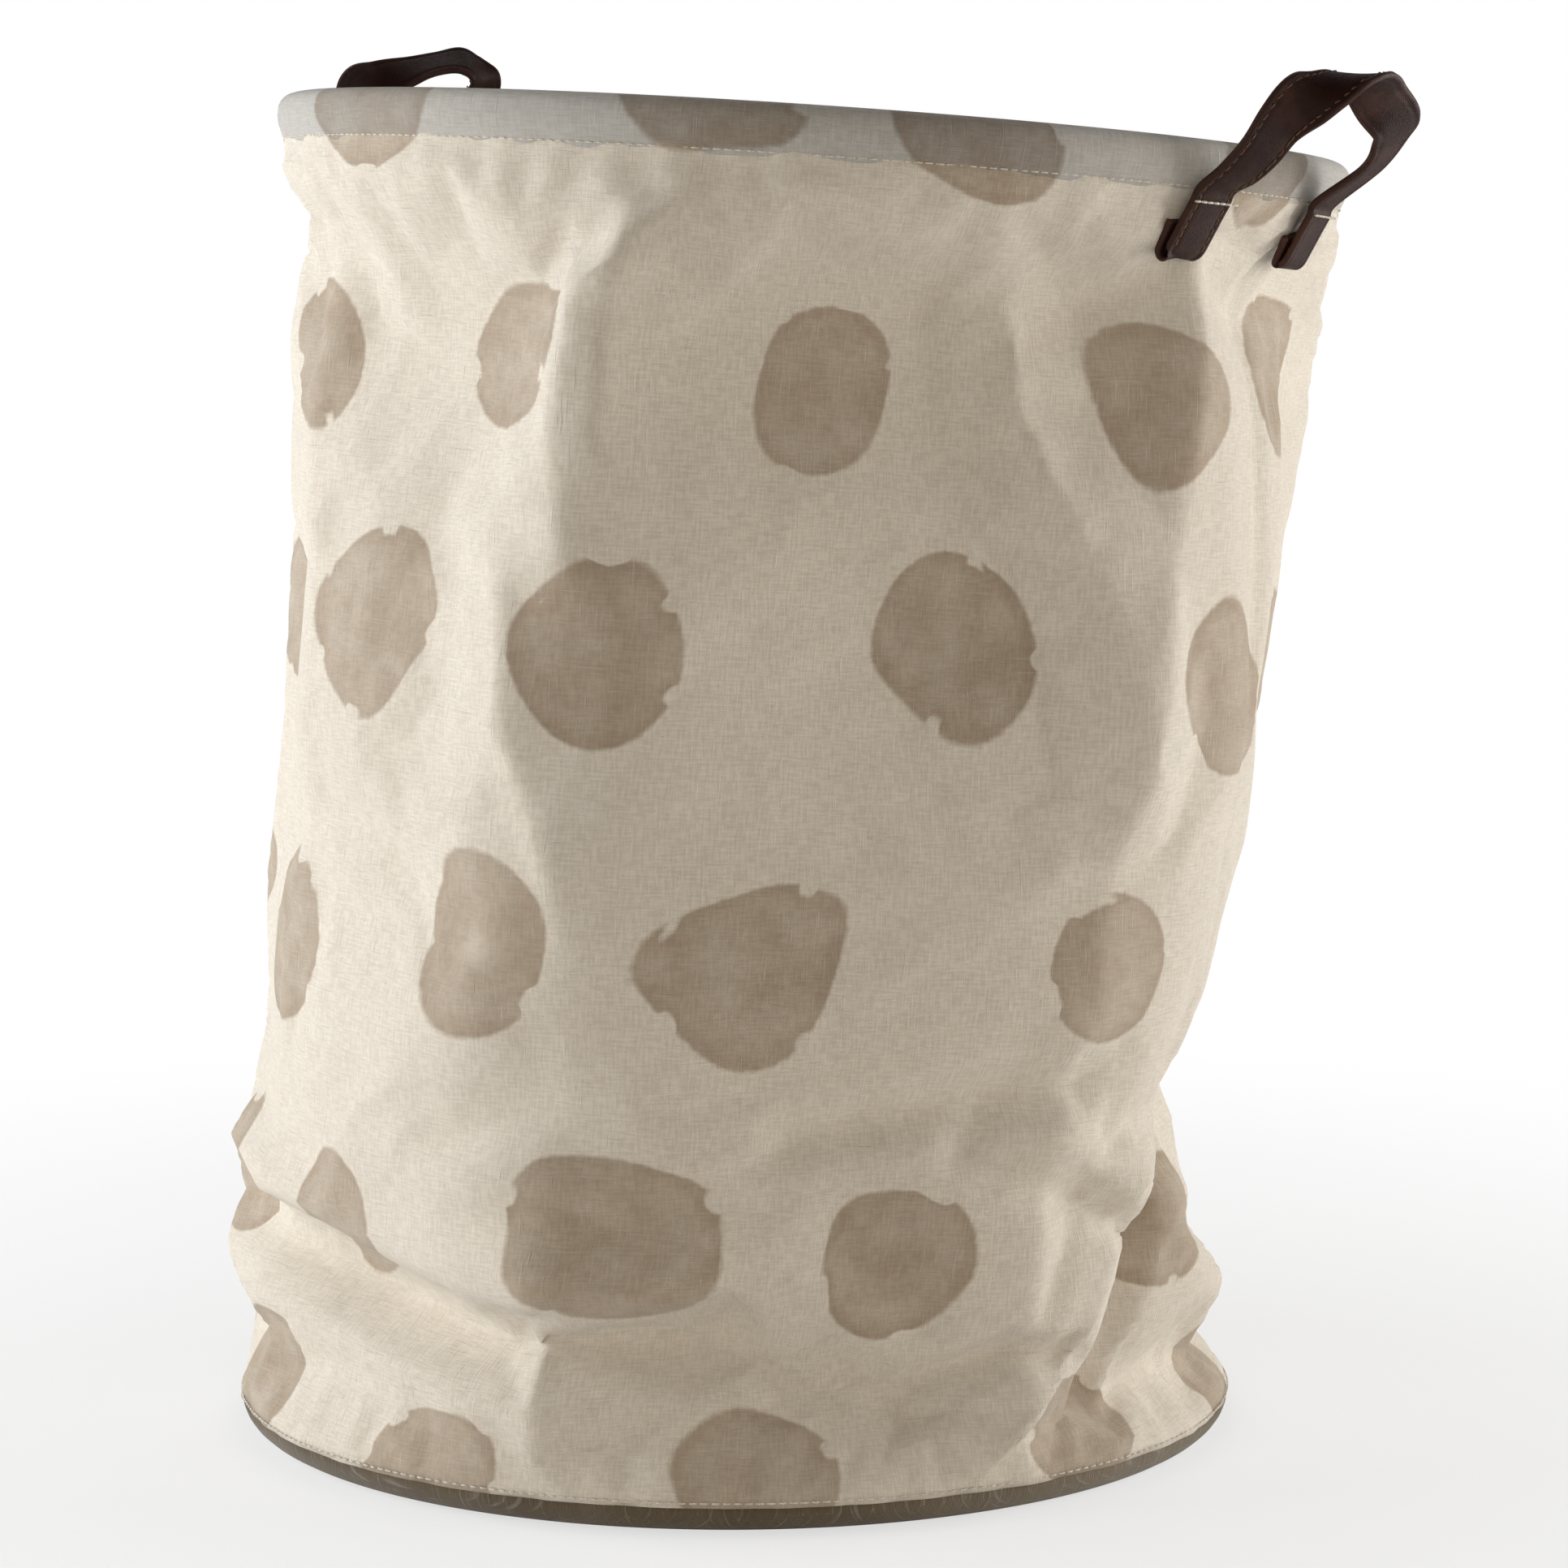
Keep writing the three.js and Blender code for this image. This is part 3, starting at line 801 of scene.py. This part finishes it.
def turned_points(profile, wobble=None):
    """A profile of (radius, height) turned about Z; wobble gives each point a lift."""
    rows = []
    for a in np.linspace(0, 2 * math.pi, ROUND, endpoint=False):
        lifts = [wobble(a, r, z) if wobble else 0.0 for r, z in profile]
        row = [(r * math.cos(a), r * math.sin(a), z + up) for (r, z), up in zip(profile, lifts)]
        rows.append(row)
    return np.array(rows)


def arc(centre_r, centre_z, reach_r, reach_z, start, stop, count):
    """Points of an ellipse's arc in a section, from one angle in degrees to another."""
    return [
        (centre_r + reach_r * math.cos(t), centre_z + reach_z * math.sin(t))
        for t in np.linspace(math.radians(start), math.radians(stop), count)
    ]


def dish_profile(inset, thickness):
    """Half the section of a disc whose edge curls up, closed near the axis by a tiny hole."""
    edge = BASE_RADIUS - inset
    reach_r, reach_z = edge - FOOT_RADIUS, BASE_CURL - inset
    outer = arc(FOOT_RADIUS, BASE_CURL, reach_r, reach_z, -90, 0, 8)
    inner = arc(FOOT_RADIUS, BASE_CURL, reach_r - thickness, reach_z - thickness, 0, -90, 8)
    steps = [AXIS_HOLE] + [k * FOOT_RADIUS / 10 for k in range(1, 10)]
    low = [(r, inset) for r in steps]
    high = [(r, inset + thickness) for r in reversed(steps)]
    return low + outer + inner + high


def base_wobble(angle, radius, height):
    """Shallow waves in the base cloth, none of them lower than where it rests."""
    if height > 3 * MM and radius > FOOT_RADIUS:
        return 0.0
    lift = noise.noise((radius * 30 * math.cos(angle), radius * 30 * math.sin(angle), 1.0)) + 0.4
    fade = min(1.0, max(0.0, (FOOT_RADIUS - radius) / 0.02))
    return max(0.0, lift) * 1.2 * MM * fade


def dish(name, inset, thickness, material, node, wobble=None):
    """A disc with a curled edge. Its flat coordinates are its own x and y."""
    points = turned_points(dish_profile(inset, thickness), wobble)
    closed = np.concatenate([points, points[:1]], axis=0)
    thing = face_out(grid_object(name, points, uv=closed[:, :, :2].copy()))
    return fit(thing, material, "bin", node)


FILM_INSET = CANVAS + 0.4 * MM
# The base panel's cloth is painted dark brown as shade.
base = dish("base_cloth", 0.0, CANVAS, shaded_base_canvas, "base_panel")
base_film = dish(
    "base_film", FILM_INSET, LINING, white_lining, "base_lining", base_wobble
)


def wall_strip(name, columns, rows, gap, thickness, wrap_across=True):
    """A thin strip that lies on the inside of the lining, following its folds."""
    base_points = lining_points - surface_normals(lining_points) * (LINING + gap)
    outer = base_points[columns, rows]
    inner = outer - surface_normals(base_points)[columns, rows] * thickness
    loop = np.concatenate([outer, inner[:, ::-1]], axis=1)
    uv_part = wall_uv[: len(outer) + 1, rows]
    uv_loop = np.concatenate([uv_part, uv_part[:, ::-1]], axis=1)
    return face_out(grid_object(name, loop, wrap_across, uv_loop, caps=not wrap_across))


TAPE = 0.8 * MM
TAPE_GAP = 0.3 * MM
TAPE_ROWS = 6
ALL_ROUND = slice(None)
SEAM_COLUMN = round(math.radians(8) / (2 * math.pi) * WALL_COLUMNS)
SEAM_COLUMNS = slice(SEAM_COLUMN - 2, SEAM_COLUMN + 3)
base_tape = wall_strip("base_binding", ALL_ROUND, slice(0, TAPE_ROWS), TAPE_GAP, TAPE)
fit(base_tape, tape_cloth, "bin", "base_seam_tape")
side_tape = wall_strip(
    "side_binding", SEAM_COLUMNS, slice(TAPE_ROWS, WALL_ROWS), TAPE_GAP, TAPE, wrap_across=False
)
fit(side_tape, tape_cloth, "bin", "side_seam_tape")

# The hem's turned-in edge hangs inside the lining, over the top of the seam tape.
FACING = 0.9 * MM
FACING_GAP = 1.3 * MM
FACING_ROWS = slice(WALL_ROWS - 5, WALL_ROWS + 1)
hem_facing = wall_strip("hem_facing", ALL_ROUND, FACING_ROWS, FACING_GAP, FACING)
# The facing takes the hem's cloth, painted darker grey as shade.
fit(hem_facing, shaded_hem_canvas, "rim", "rim_casing")


def ring_stitches(name, radius, pitch, length, thickness, place):
    """Stitches round a ring: place(angle) gives a point, the way along and the way out."""
    count = round(2 * math.pi * radius / pitch)
    draw = random.Random(3)
    parts = []
    for k in range(count):
        angle = 2 * math.pi * k / count
        middle, along, out = place(angle)
        grow = draw.uniform(0.85, 1.1)
        parts.append(stitch_part(middle, along, out, length * grow, thickness))
    return join_parts(name, parts)


def base_seam_place(angle):
    """Where a stitch of the base seam is, just outside the wall's foot."""
    reach = BASE_RADIUS + 0.2 * MM
    middle = Vector((reach * math.cos(angle), reach * math.sin(angle), BASE_CURL + 1.5 * MM))
    along = Vector((-math.sin(angle), math.cos(angle), 0))
    return middle, along, Vector((math.cos(angle), math.sin(angle), 0))


base_stitches = ring_stitches(
    "base_stitches", BASE_RADIUS, 3.4 * MM, 2.6 * MM, 0.32 * MM, base_seam_place
)
fit(base_stitches, cream_thread, "bin", "base_seam_thread")

# ---- Rim: hem, its stitches, the hoop and its sleeve.


def hem_section(angle):
    """The hem's closed section at one place round the rim, as (radius, height) in its frame."""
    slack = 0.45 * MM * noise.noise((angle * 5, 1.7, 0.2))
    pinch = 0.25 * MM * noise.noise((angle * 38, 0.4, 5.0))
    fold = 4.8 * MM
    middle = HOOP_RADIUS + 0.1 * MM
    outside = arc(HOOP_RADIUS, -HOOP_DROP - 0.8 * MM, fold, fold + 0.2 * MM, 0, 180, 15)
    low = -HEM_DEPTH
    outer_leg = [
        (middle + 1.5 * MM, low),
        (middle + 1.9 * MM + pinch, low * 0.93),
        (middle + 3.2 * MM + slack + pinch, low * 0.78),
        (middle + 4.4 * MM + slack, low * 0.58),
        (middle + 4.8 * MM + slack, low * 0.44),
    ]
    inner_leg = [(2 * middle - r, z) for r, z in reversed(outer_leg)]
    cavity = arc(HOOP_RADIUS, -HOOP_DROP - 0.8 * MM, fold - CANVAS, fold - CANVAS, 180, 0, 15)
    legs_in = [
        (middle - 0.15 * MM, low),
        (middle - 0.5 * MM, low * 0.9),
        (middle - 3.2 * MM, low * 0.6),
    ]
    legs_out = [(2 * middle - r, z) for r, z in reversed(legs_in)]
    return outer_leg + outside + inner_leg + legs_in + cavity + legs_out


HEM_COLUMNS = 480
HEM_CLOTH = float(cloth_height(HEM_HEIGHT)) * MM


def hem_object():
    """The hem all round the rim, with the wall's cloth running on over it."""
    angles = np.linspace(0, 2 * math.pi, HEM_COLUMNS, endpoint=False)
    sections = [hem_section(a) for a in angles]
    points = [
        [on_rim(r * math.cos(a), r * math.sin(a), z) for r, z in section]
        for a, section in zip(angles, sections)
    ]
    steps = [math.dist(p, q) for p, q in zip(sections[0][:-1], sections[0][1:])]
    u = np.linspace(0, CIRCUMFERENCE, HEM_COLUMNS + 1)
    v = HEM_CLOTH + np.cumsum([0.0] + steps)
    uv = np.stack(np.meshgrid(u, v, indexing="ij"), axis=2)
    return face_out(grid_object("hem_cloth", np.array(points), uv=uv))


# The hem's cloth is painted darker grey as shade.
hem = fit(hem_object(), shaded_hem_canvas, "rim", "rim_casing")


def hem_seam_place(angle):
    """Where a stitch of the hem is, near the fold's lower edge."""
    reach = HOOP_RADIUS + 2.35 * MM
    middle = on_rim(reach * math.cos(angle), reach * math.sin(angle), -HEM_DEPTH * 0.90)
    along = RIM_TURN @ Vector((-math.sin(angle), math.cos(angle), 0))
    out = RIM_TURN @ Vector((math.cos(angle), math.sin(angle), 0))
    return middle, along, out


hem_stitches = ring_stitches(
    "hem_stitches", RIM_RADIUS, 3.3 * MM, 2.7 * MM, 0.28 * MM, hem_seam_place
)
fit(hem_stitches, cream_thread, "rim", "hem_thread")

for node in ("rim_hoop", "hoop_sleeve"):
    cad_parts[node].data.materials.clear()
    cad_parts[node].data.materials.append(steel)

# ---- Handles: each strap is one piece, from one folded end over the loop to the other.

# Stations of each loop, in its own frame: (out, along, up) in millimetres, then the way across.
LEG_SPREAD = 33
FIRST_LEG = ((1, -LEG_SPREAD, 1.7), (0.18, 0.98, 0))
SECOND_LEG = ((1, LEG_SPREAD, 1.7), (0.18, -0.98, 0))
BACK_LEG = ((1, LEG_SPREAD, 1.7), (-0.18, 0.98, 0))
LOOP_STATIONS = {
    "right": [
        FIRST_LEG,
        ((8, -33, 6.5), (0.2, 0.96, -0.15)),
        ((14.5, -32, 13.5), (0.2, 0.92, -0.3)),
        ((19.5, -30, 22), (0.32, 0.85, -0.42)),
        ((24, -26, 28.5), (0.6, 0.6, -0.55)),
        ((28.5, -19.5, 33), (0.9, 0.1, -0.45)),
        ((32, -11, 37.2), (0.97, -0.1, -0.1)),
        ((32.5, -1, 36.2), (0.88, 0.2, 0.35)),
        ((30.5, 11, 31.5), (0.6, 0.6, 0.45)),
        ((30.5, 21, 26), (0.35, 0.85, 0.35)),
        ((25, 28.5, 21), (0, 0.97, 0.15)),
        ((16.5, 32.5, 12.8), (-0.2, 0.97, 0.05)),
        BACK_LEG,
    ],
    "left": [
        FIRST_LEG,
        ((1.5, -31, 10), (0.25, 0.95, -0.1)),
        ((-1, -27, 18.5), (0.3, 0.95, -0.15)),
        ((-8, -22, 25.5), (0.25, 0.95, -0.1)),
        ((-13, -18, 31.5), (0, 1, -0.1)),
        ((-13, -14.5, 36), (-0.35, 0.9, -0.25)),
        ((-10, -10, 38.5), (-0.45, 0.75, -0.5)),
        ((-4.5, -4, 37), (-0.55, 0.65, -0.45)),
        ((2, 2, 34), (-0.65, 0.45, -0.5)),
        ((7.5, 11, 30), (-0.7, -0.1, -0.55)),
        ((9.5, 20.5, 25), (-0.35, -0.8, -0.4)),
        ((6, 29, 15.5), (0.05, -0.97, -0.15)),
        SECOND_LEG,
    ],
}
TAB_LENGTH = 19.7
HINGE_REACH = 180.1 * MM * math.cos(math.asin(LEG_SPREAD * MM / RIM_RADIUS))
TUCK_LENGTH = 11
STITCH_ROW = 6.4


def catmull_rom(points, per_span):
    """A smooth line through the points, with per_span points on each span."""
    padded = [2 * points[0] - points[1], *points, 2 * points[-1] - points[-2]]
    out = []
    for k in range(1, len(padded) - 2):
        a, b, c, d = padded[k - 1 : k + 3]
        for t in np.linspace(0, 1, per_span, endpoint=False):
            square = (2 * a - 5 * b + 4 * c - d) * t**2
            cube = (3 * b - a - 3 * c + d) * t**3
            out.append(0.5 * (2 * b + (c - a) * t + square + cube))
    out.append(points[-1])
    return np.array(out)


def tab_stations(way, flip):
    """The sewn end's stations, from its cut edge behind the fold up to the hinge line. With a
    flip of -1 the strap's other face is outwards."""
    across = (0.18 * flip, -0.98 * way * flip, 0.0)
    layer = STRAP_THICKNESS / MM + 0.35
    section = [
        (-layer, -TAB_LENGTH + TUCK_LENGTH, 2.2),
        (-layer, -TAB_LENGTH + 6, 1.4),
        (-layer + 0.1, -TAB_LENGTH + 2.4, 0.6),
        (-layer * 0.55, -TAB_LENGTH + 0.9, 0.2),
        (-0.2, -TAB_LENGTH + 2.2, 0.0),
        (0.0, -TAB_LENGTH + 6, 0.0),
        (0.0, -11, 0.0),
        (0.0, -7, 0.0),
        (0.1, -3, 0.0),
    ]
    return [
        ((out + TAB_SLOPE * min(0.0, up), way * LEG_SPREAD - slide, up), across)
        for out, up, slide in section
    ]


def strap_route(side):
    """All stations of one strap: end, loop, end."""
    first = tab_stations(-1, 1)
    second = list(reversed(tab_stations(1, -1 if side == "right" else 1)))
    stations = first + LOOP_STATIONS[side] + second
    middles = np.array([s[0] for s in stations], float)
    acrosses = np.array([s[1] for s in stations], float)
    return catmull_rom(middles, 12), catmull_rom(acrosses, 12)


def strap_frames(side):
    """The strap's middle line, with the ways along it, across it and out of it."""
    middles, acrosses = strap_route(side)
    tangents = np.gradient(middles, axis=0)
    tangents /= np.linalg.norm(tangents, axis=1, keepdims=True)
    acrosses = acrosses - (acrosses * tangents).sum(1, keepdims=True) * tangents
    acrosses /= np.linalg.norm(acrosses, axis=1, keepdims=True)
    normals = np.cross(acrosses, tangents)
    return middles, tangents, acrosses, normals


def strap_section():
    """The strap's section: a padded band with rolled edges, as (across, lift) in millimetres."""
    half, thick = STRAP_WIDTH / 2 / MM, STRAP_THICKNESS / 2 / MM
    top = []
    for share in np.linspace(-1, 1, 21):
        a = share * half
        groove = 0.35 * math.exp(-(((abs(a) - STITCH_ROW) / 0.55) ** 2))
        crown = 0.25 * max(0.0, 1 - (a / 6.0) ** 2)
        edge = thick * math.sqrt(max(0.0, 1 - max(0.0, (abs(a) - half + 1.1) / 1.1) ** 2))
        top.append((a, edge * 0.85 + crown - groove * (edge > 0.5)))
    bottom = [(a, -min(t, 0.85 * thick)) for a, t in reversed(top[1:-1])]
    return top + bottom


def handle_matrix(side):
    """From a handle's own millimetre frame (out, along, up from the hinge line) to the row."""
    turn = 1 if side == "right" else -1
    out = RIM_TURN @ Vector((turn, 0, 0))
    along = RIM_TURN @ Vector((0, turn, 0))
    matrix = Matrix((out, along, RIM_AXIS)).transposed().to_4x4()
    line = on_rim(turn * HINGE_REACH, 0, -HEM_DEPTH)
    return Matrix.Translation(line) @ matrix @ Matrix.Scale(MM, 4)


def placed(points, matrix):
    """Points moved by a matrix."""
    m = np.array(matrix)
    return points @ m[:3, :3].T + m[:3, 3]


EDGE_PITCH = 3.1
BAR_PITCH = 2.8
ROW_LIFT = STRAP_THICKNESS / 2 / MM * 0.85 - 0.22  # the stitches' height in their groove


def make_handle(side):
    """One strap with its two rows of edge stitches and the bars of stitches that hold it."""
    matrix = handle_matrix(side)
    turn = matrix.to_3x3().normalized()

    def stitch(spot, along, out, length, radius):
        centre = Vector(placed(np.array(spot)[None], matrix)[0])
        return stitch_part(centre, turn @ Vector(along), turn @ Vector(out), length, radius)

    middles, tangents, acrosses, normals = strap_frames(side)
    section = strap_section()
    points = np.array(
        [[m + a * x + n * y for x, y in section] for m, a, n in zip(middles, acrosses, normals)]
    )
    points = placed(points.reshape(-1, 3), matrix).reshape(points.shape)
    strap = face_out(grid_object(side + "_strap_leather", points, wrap_across=False, caps=True))
    dress(strap, leather)
    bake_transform(strap)
    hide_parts(side + "_strap", side + "_tab_front", side + "_tab_back")

    lengths = np.cumsum(np.append(0.0, np.linalg.norm(np.diff(middles, axis=0), axis=1)))
    loop_from, loop_to = TUCK_LENGTH + 5, lengths[-1] - TUCK_LENGTH - 5
    for row, place in (("upper", -STITCH_ROW), ("lower", STITCH_ROW)):
        parts = []
        for at in np.arange(loop_from, loop_to, EDGE_PITCH):
            k = int(np.searchsorted(lengths, at))
            middle = middles[k] + acrosses[k] * place + normals[k] * ROW_LIFT
            parts.append(stitch(middle, tangents[k], normals[k], 2.5 * MM, 0.3 * MM))
        thread = join_parts(side + "_edge_stitches_" + row, parts)
        dress(thread, brown_thread)
        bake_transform(thread)
        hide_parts(side + "_strap_thread_" + row)

    for leg, way in (("front", -1), ("back", 1)):
        along = Vector((-0.18 * way, 0.98, 0.0)).normalized()
        out = Vector((0.98, 0.18 * way, 0.0)).normalized()
        start = Vector((0.0, way * LEG_SPREAD, -3.0))
        spots_along = [start + along * (k * BAR_PITCH) + out * 1.15 for k in range(-3, 4)]
        parts = [stitch(spot, along, out, 2.6 * MM, 0.4 * MM) for spot in spots_along]
        bar = join_parts(side + "_bar_stitches_" + leg, parts)
        fit(bar, cream_thread, "rim", side + "_tab_stitch_" + leg)


for side in ("right", "left"):
    make_handle(side)

# ---- The wall, the lining and the side tape each get a mesh of their own.

for piece in (wall, lining, side_tape):
    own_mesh(piece)

# ---- Floor, light and camera.


def view_direction(azimuth, elevation=0.0):
    """The way from the bin to a viewer at that azimuth."""
    a, e = math.radians(azimuth), math.radians(elevation)
    return Vector((math.sin(a) * math.cos(e), -math.cos(a) * math.cos(e), math.sin(e)))


def make_floor():
    """A white floor that keeps a pale soft shadow and turns into the white background. To the camera
    it glows white, more strongly away from the bin: painted light that pales its shadow.
    """
    reach = 30.0
    mesh = bpy.data.meshes.new("floor")
    corners = [(-reach, -reach, 0), (reach, -reach, 0), (reach, reach, 0), (-reach, reach, 0)]
    mesh.from_pydata(corners, [], [[0, 1, 2, 3]])
    floor = linked("floor", mesh)
    graph = Graph("floor_paper", roughness=0.9, specular=0.1)
    floor.data.materials.append(graph.finish((0.90, 0.90, 0.90, 1.0)))
    place = graph.node("TexCoord").outputs["Object"]
    away = graph.node("VectorMath", {"operation": "LENGTH"}, Vector=place).outputs["Value"]
    # Painted light: to the camera the floor glows white, more strongly the further it is from the bin.
    white = graph.node("Emission", Strength=1.0)
    seen = graph.node("LightPath").outputs["Is Camera Ray"]
    share = graph.math("MULTIPLY", seen, graph.spread(away, 0.16, 0.80, 0.66, 1.0))
    blend = graph.node("MixShader")
    graph.tree.links.new(share, blend.inputs[0])
    graph.tree.links.new(graph.shader.outputs[0], blend.inputs[1])
    graph.tree.links.new(white.outputs[0], blend.inputs[2])
    graph.tree.links.new(blend.outputs[0], graph.tree.nodes["Material Output"].inputs["Surface"])


def soft_box(name, azimuth, height, distance, size, energy, colour=(1.0, 1.0, 1.0)):
    """A flat lamp at that azimuth, aimed at the bin's middle."""
    light = bpy.data.lights.new(name, "AREA")
    light.shape = "RECTANGLE"
    light.size, light.size_y = size
    light.energy = energy
    light.color = colour
    holder = linked(name, light)
    holder.location = view_direction(azimuth) * distance + Vector((0, 0, height))
    aim = Vector((0, 0, 0.22)) - holder.location
    holder.rotation_mode = "QUATERNION"
    holder.rotation_quaternion = aim.to_track_quat("-Z", "Y")


def make_world():
    """Dim and cool from above, brighter and warm round the horizon, white to the camera."""
    world = bpy.data.worlds.new("studio")
    bpy.context.scene.world = world
    world.use_nodes = True
    tree = world.node_tree
    light = tree.nodes["Background"]
    up = tree.nodes.new("ShaderNodeSeparateXYZ")
    tree.links.new(tree.nodes.new("ShaderNodeTexCoord").outputs["Generated"], up.inputs[0])
    ramp = tree.nodes.new("ShaderNodeValToRGB")
    ramp.color_ramp.elements[0].color = (0.58, 0.53, 0.46, 1.0)
    ramp.color_ramp.elements[1].position = 0.42
    ramp.color_ramp.elements[1].color = (0.045, 0.052, 0.062, 1.0)
    tree.links.new(up.outputs["Z"], ramp.inputs[0])
    tree.links.new(ramp.outputs[0], light.inputs["Color"])
    light.inputs["Strength"].default_value = 0.75
    seen = tree.nodes.new("ShaderNodeBackground")
    seen.inputs["Color"].default_value = (1.0, 1.0, 1.0, 1.0)
    path = tree.nodes.new("ShaderNodeLightPath")
    mix = tree.nodes.new("ShaderNodeMixShader")
    tree.links.new(path.outputs["Is Camera Ray"], mix.inputs[0])
    tree.links.new(light.outputs[0], mix.inputs[1])
    tree.links.new(seen.outputs[0], mix.inputs[2])
    tree.links.new(mix.outputs[0], tree.nodes["World Output"].inputs["Surface"])


def make_camera():
    """A long lens a little above the rim, from the side that both handles are seen from."""
    data = bpy.data.cameras.new("camera")
    data.lens = 98.8
    data.sensor_width = 36.0
    camera = linked("camera", data)
    camera.location = view_direction(VIEW_AZIMUTH) * 1.45 + Vector((0, 0, 0.365))
    camera.rotation_euler = (math.radians(90 - 5.96), 0.0, math.radians(VIEW_AZIMUTH - 0.66))
    bpy.context.scene.camera = camera


make_floor()
make_world()
make_camera()
soft_box("left_box", VIEW_AZIMUTH - 92, 0.50, 1.25, (1.2, 1.0), 19, (0.96, 0.98, 1.0))
soft_box("right_box", VIEW_AZIMUTH + 96, 0.34, 1.25, (1.2, 1.1), 18, (1.0, 0.985, 0.96))
soft_box("front_box", VIEW_AZIMUTH, 0.4, 2.4, (2.6, 1.0), 14.5, (1.0, 0.88, 0.73))
soft_box("back_box", VIEW_AZIMUTH + 180, 1.6, 1.3, (1.6, 0.8), 3)
bpy.context.scene.view_settings.view_transform = "Standard"
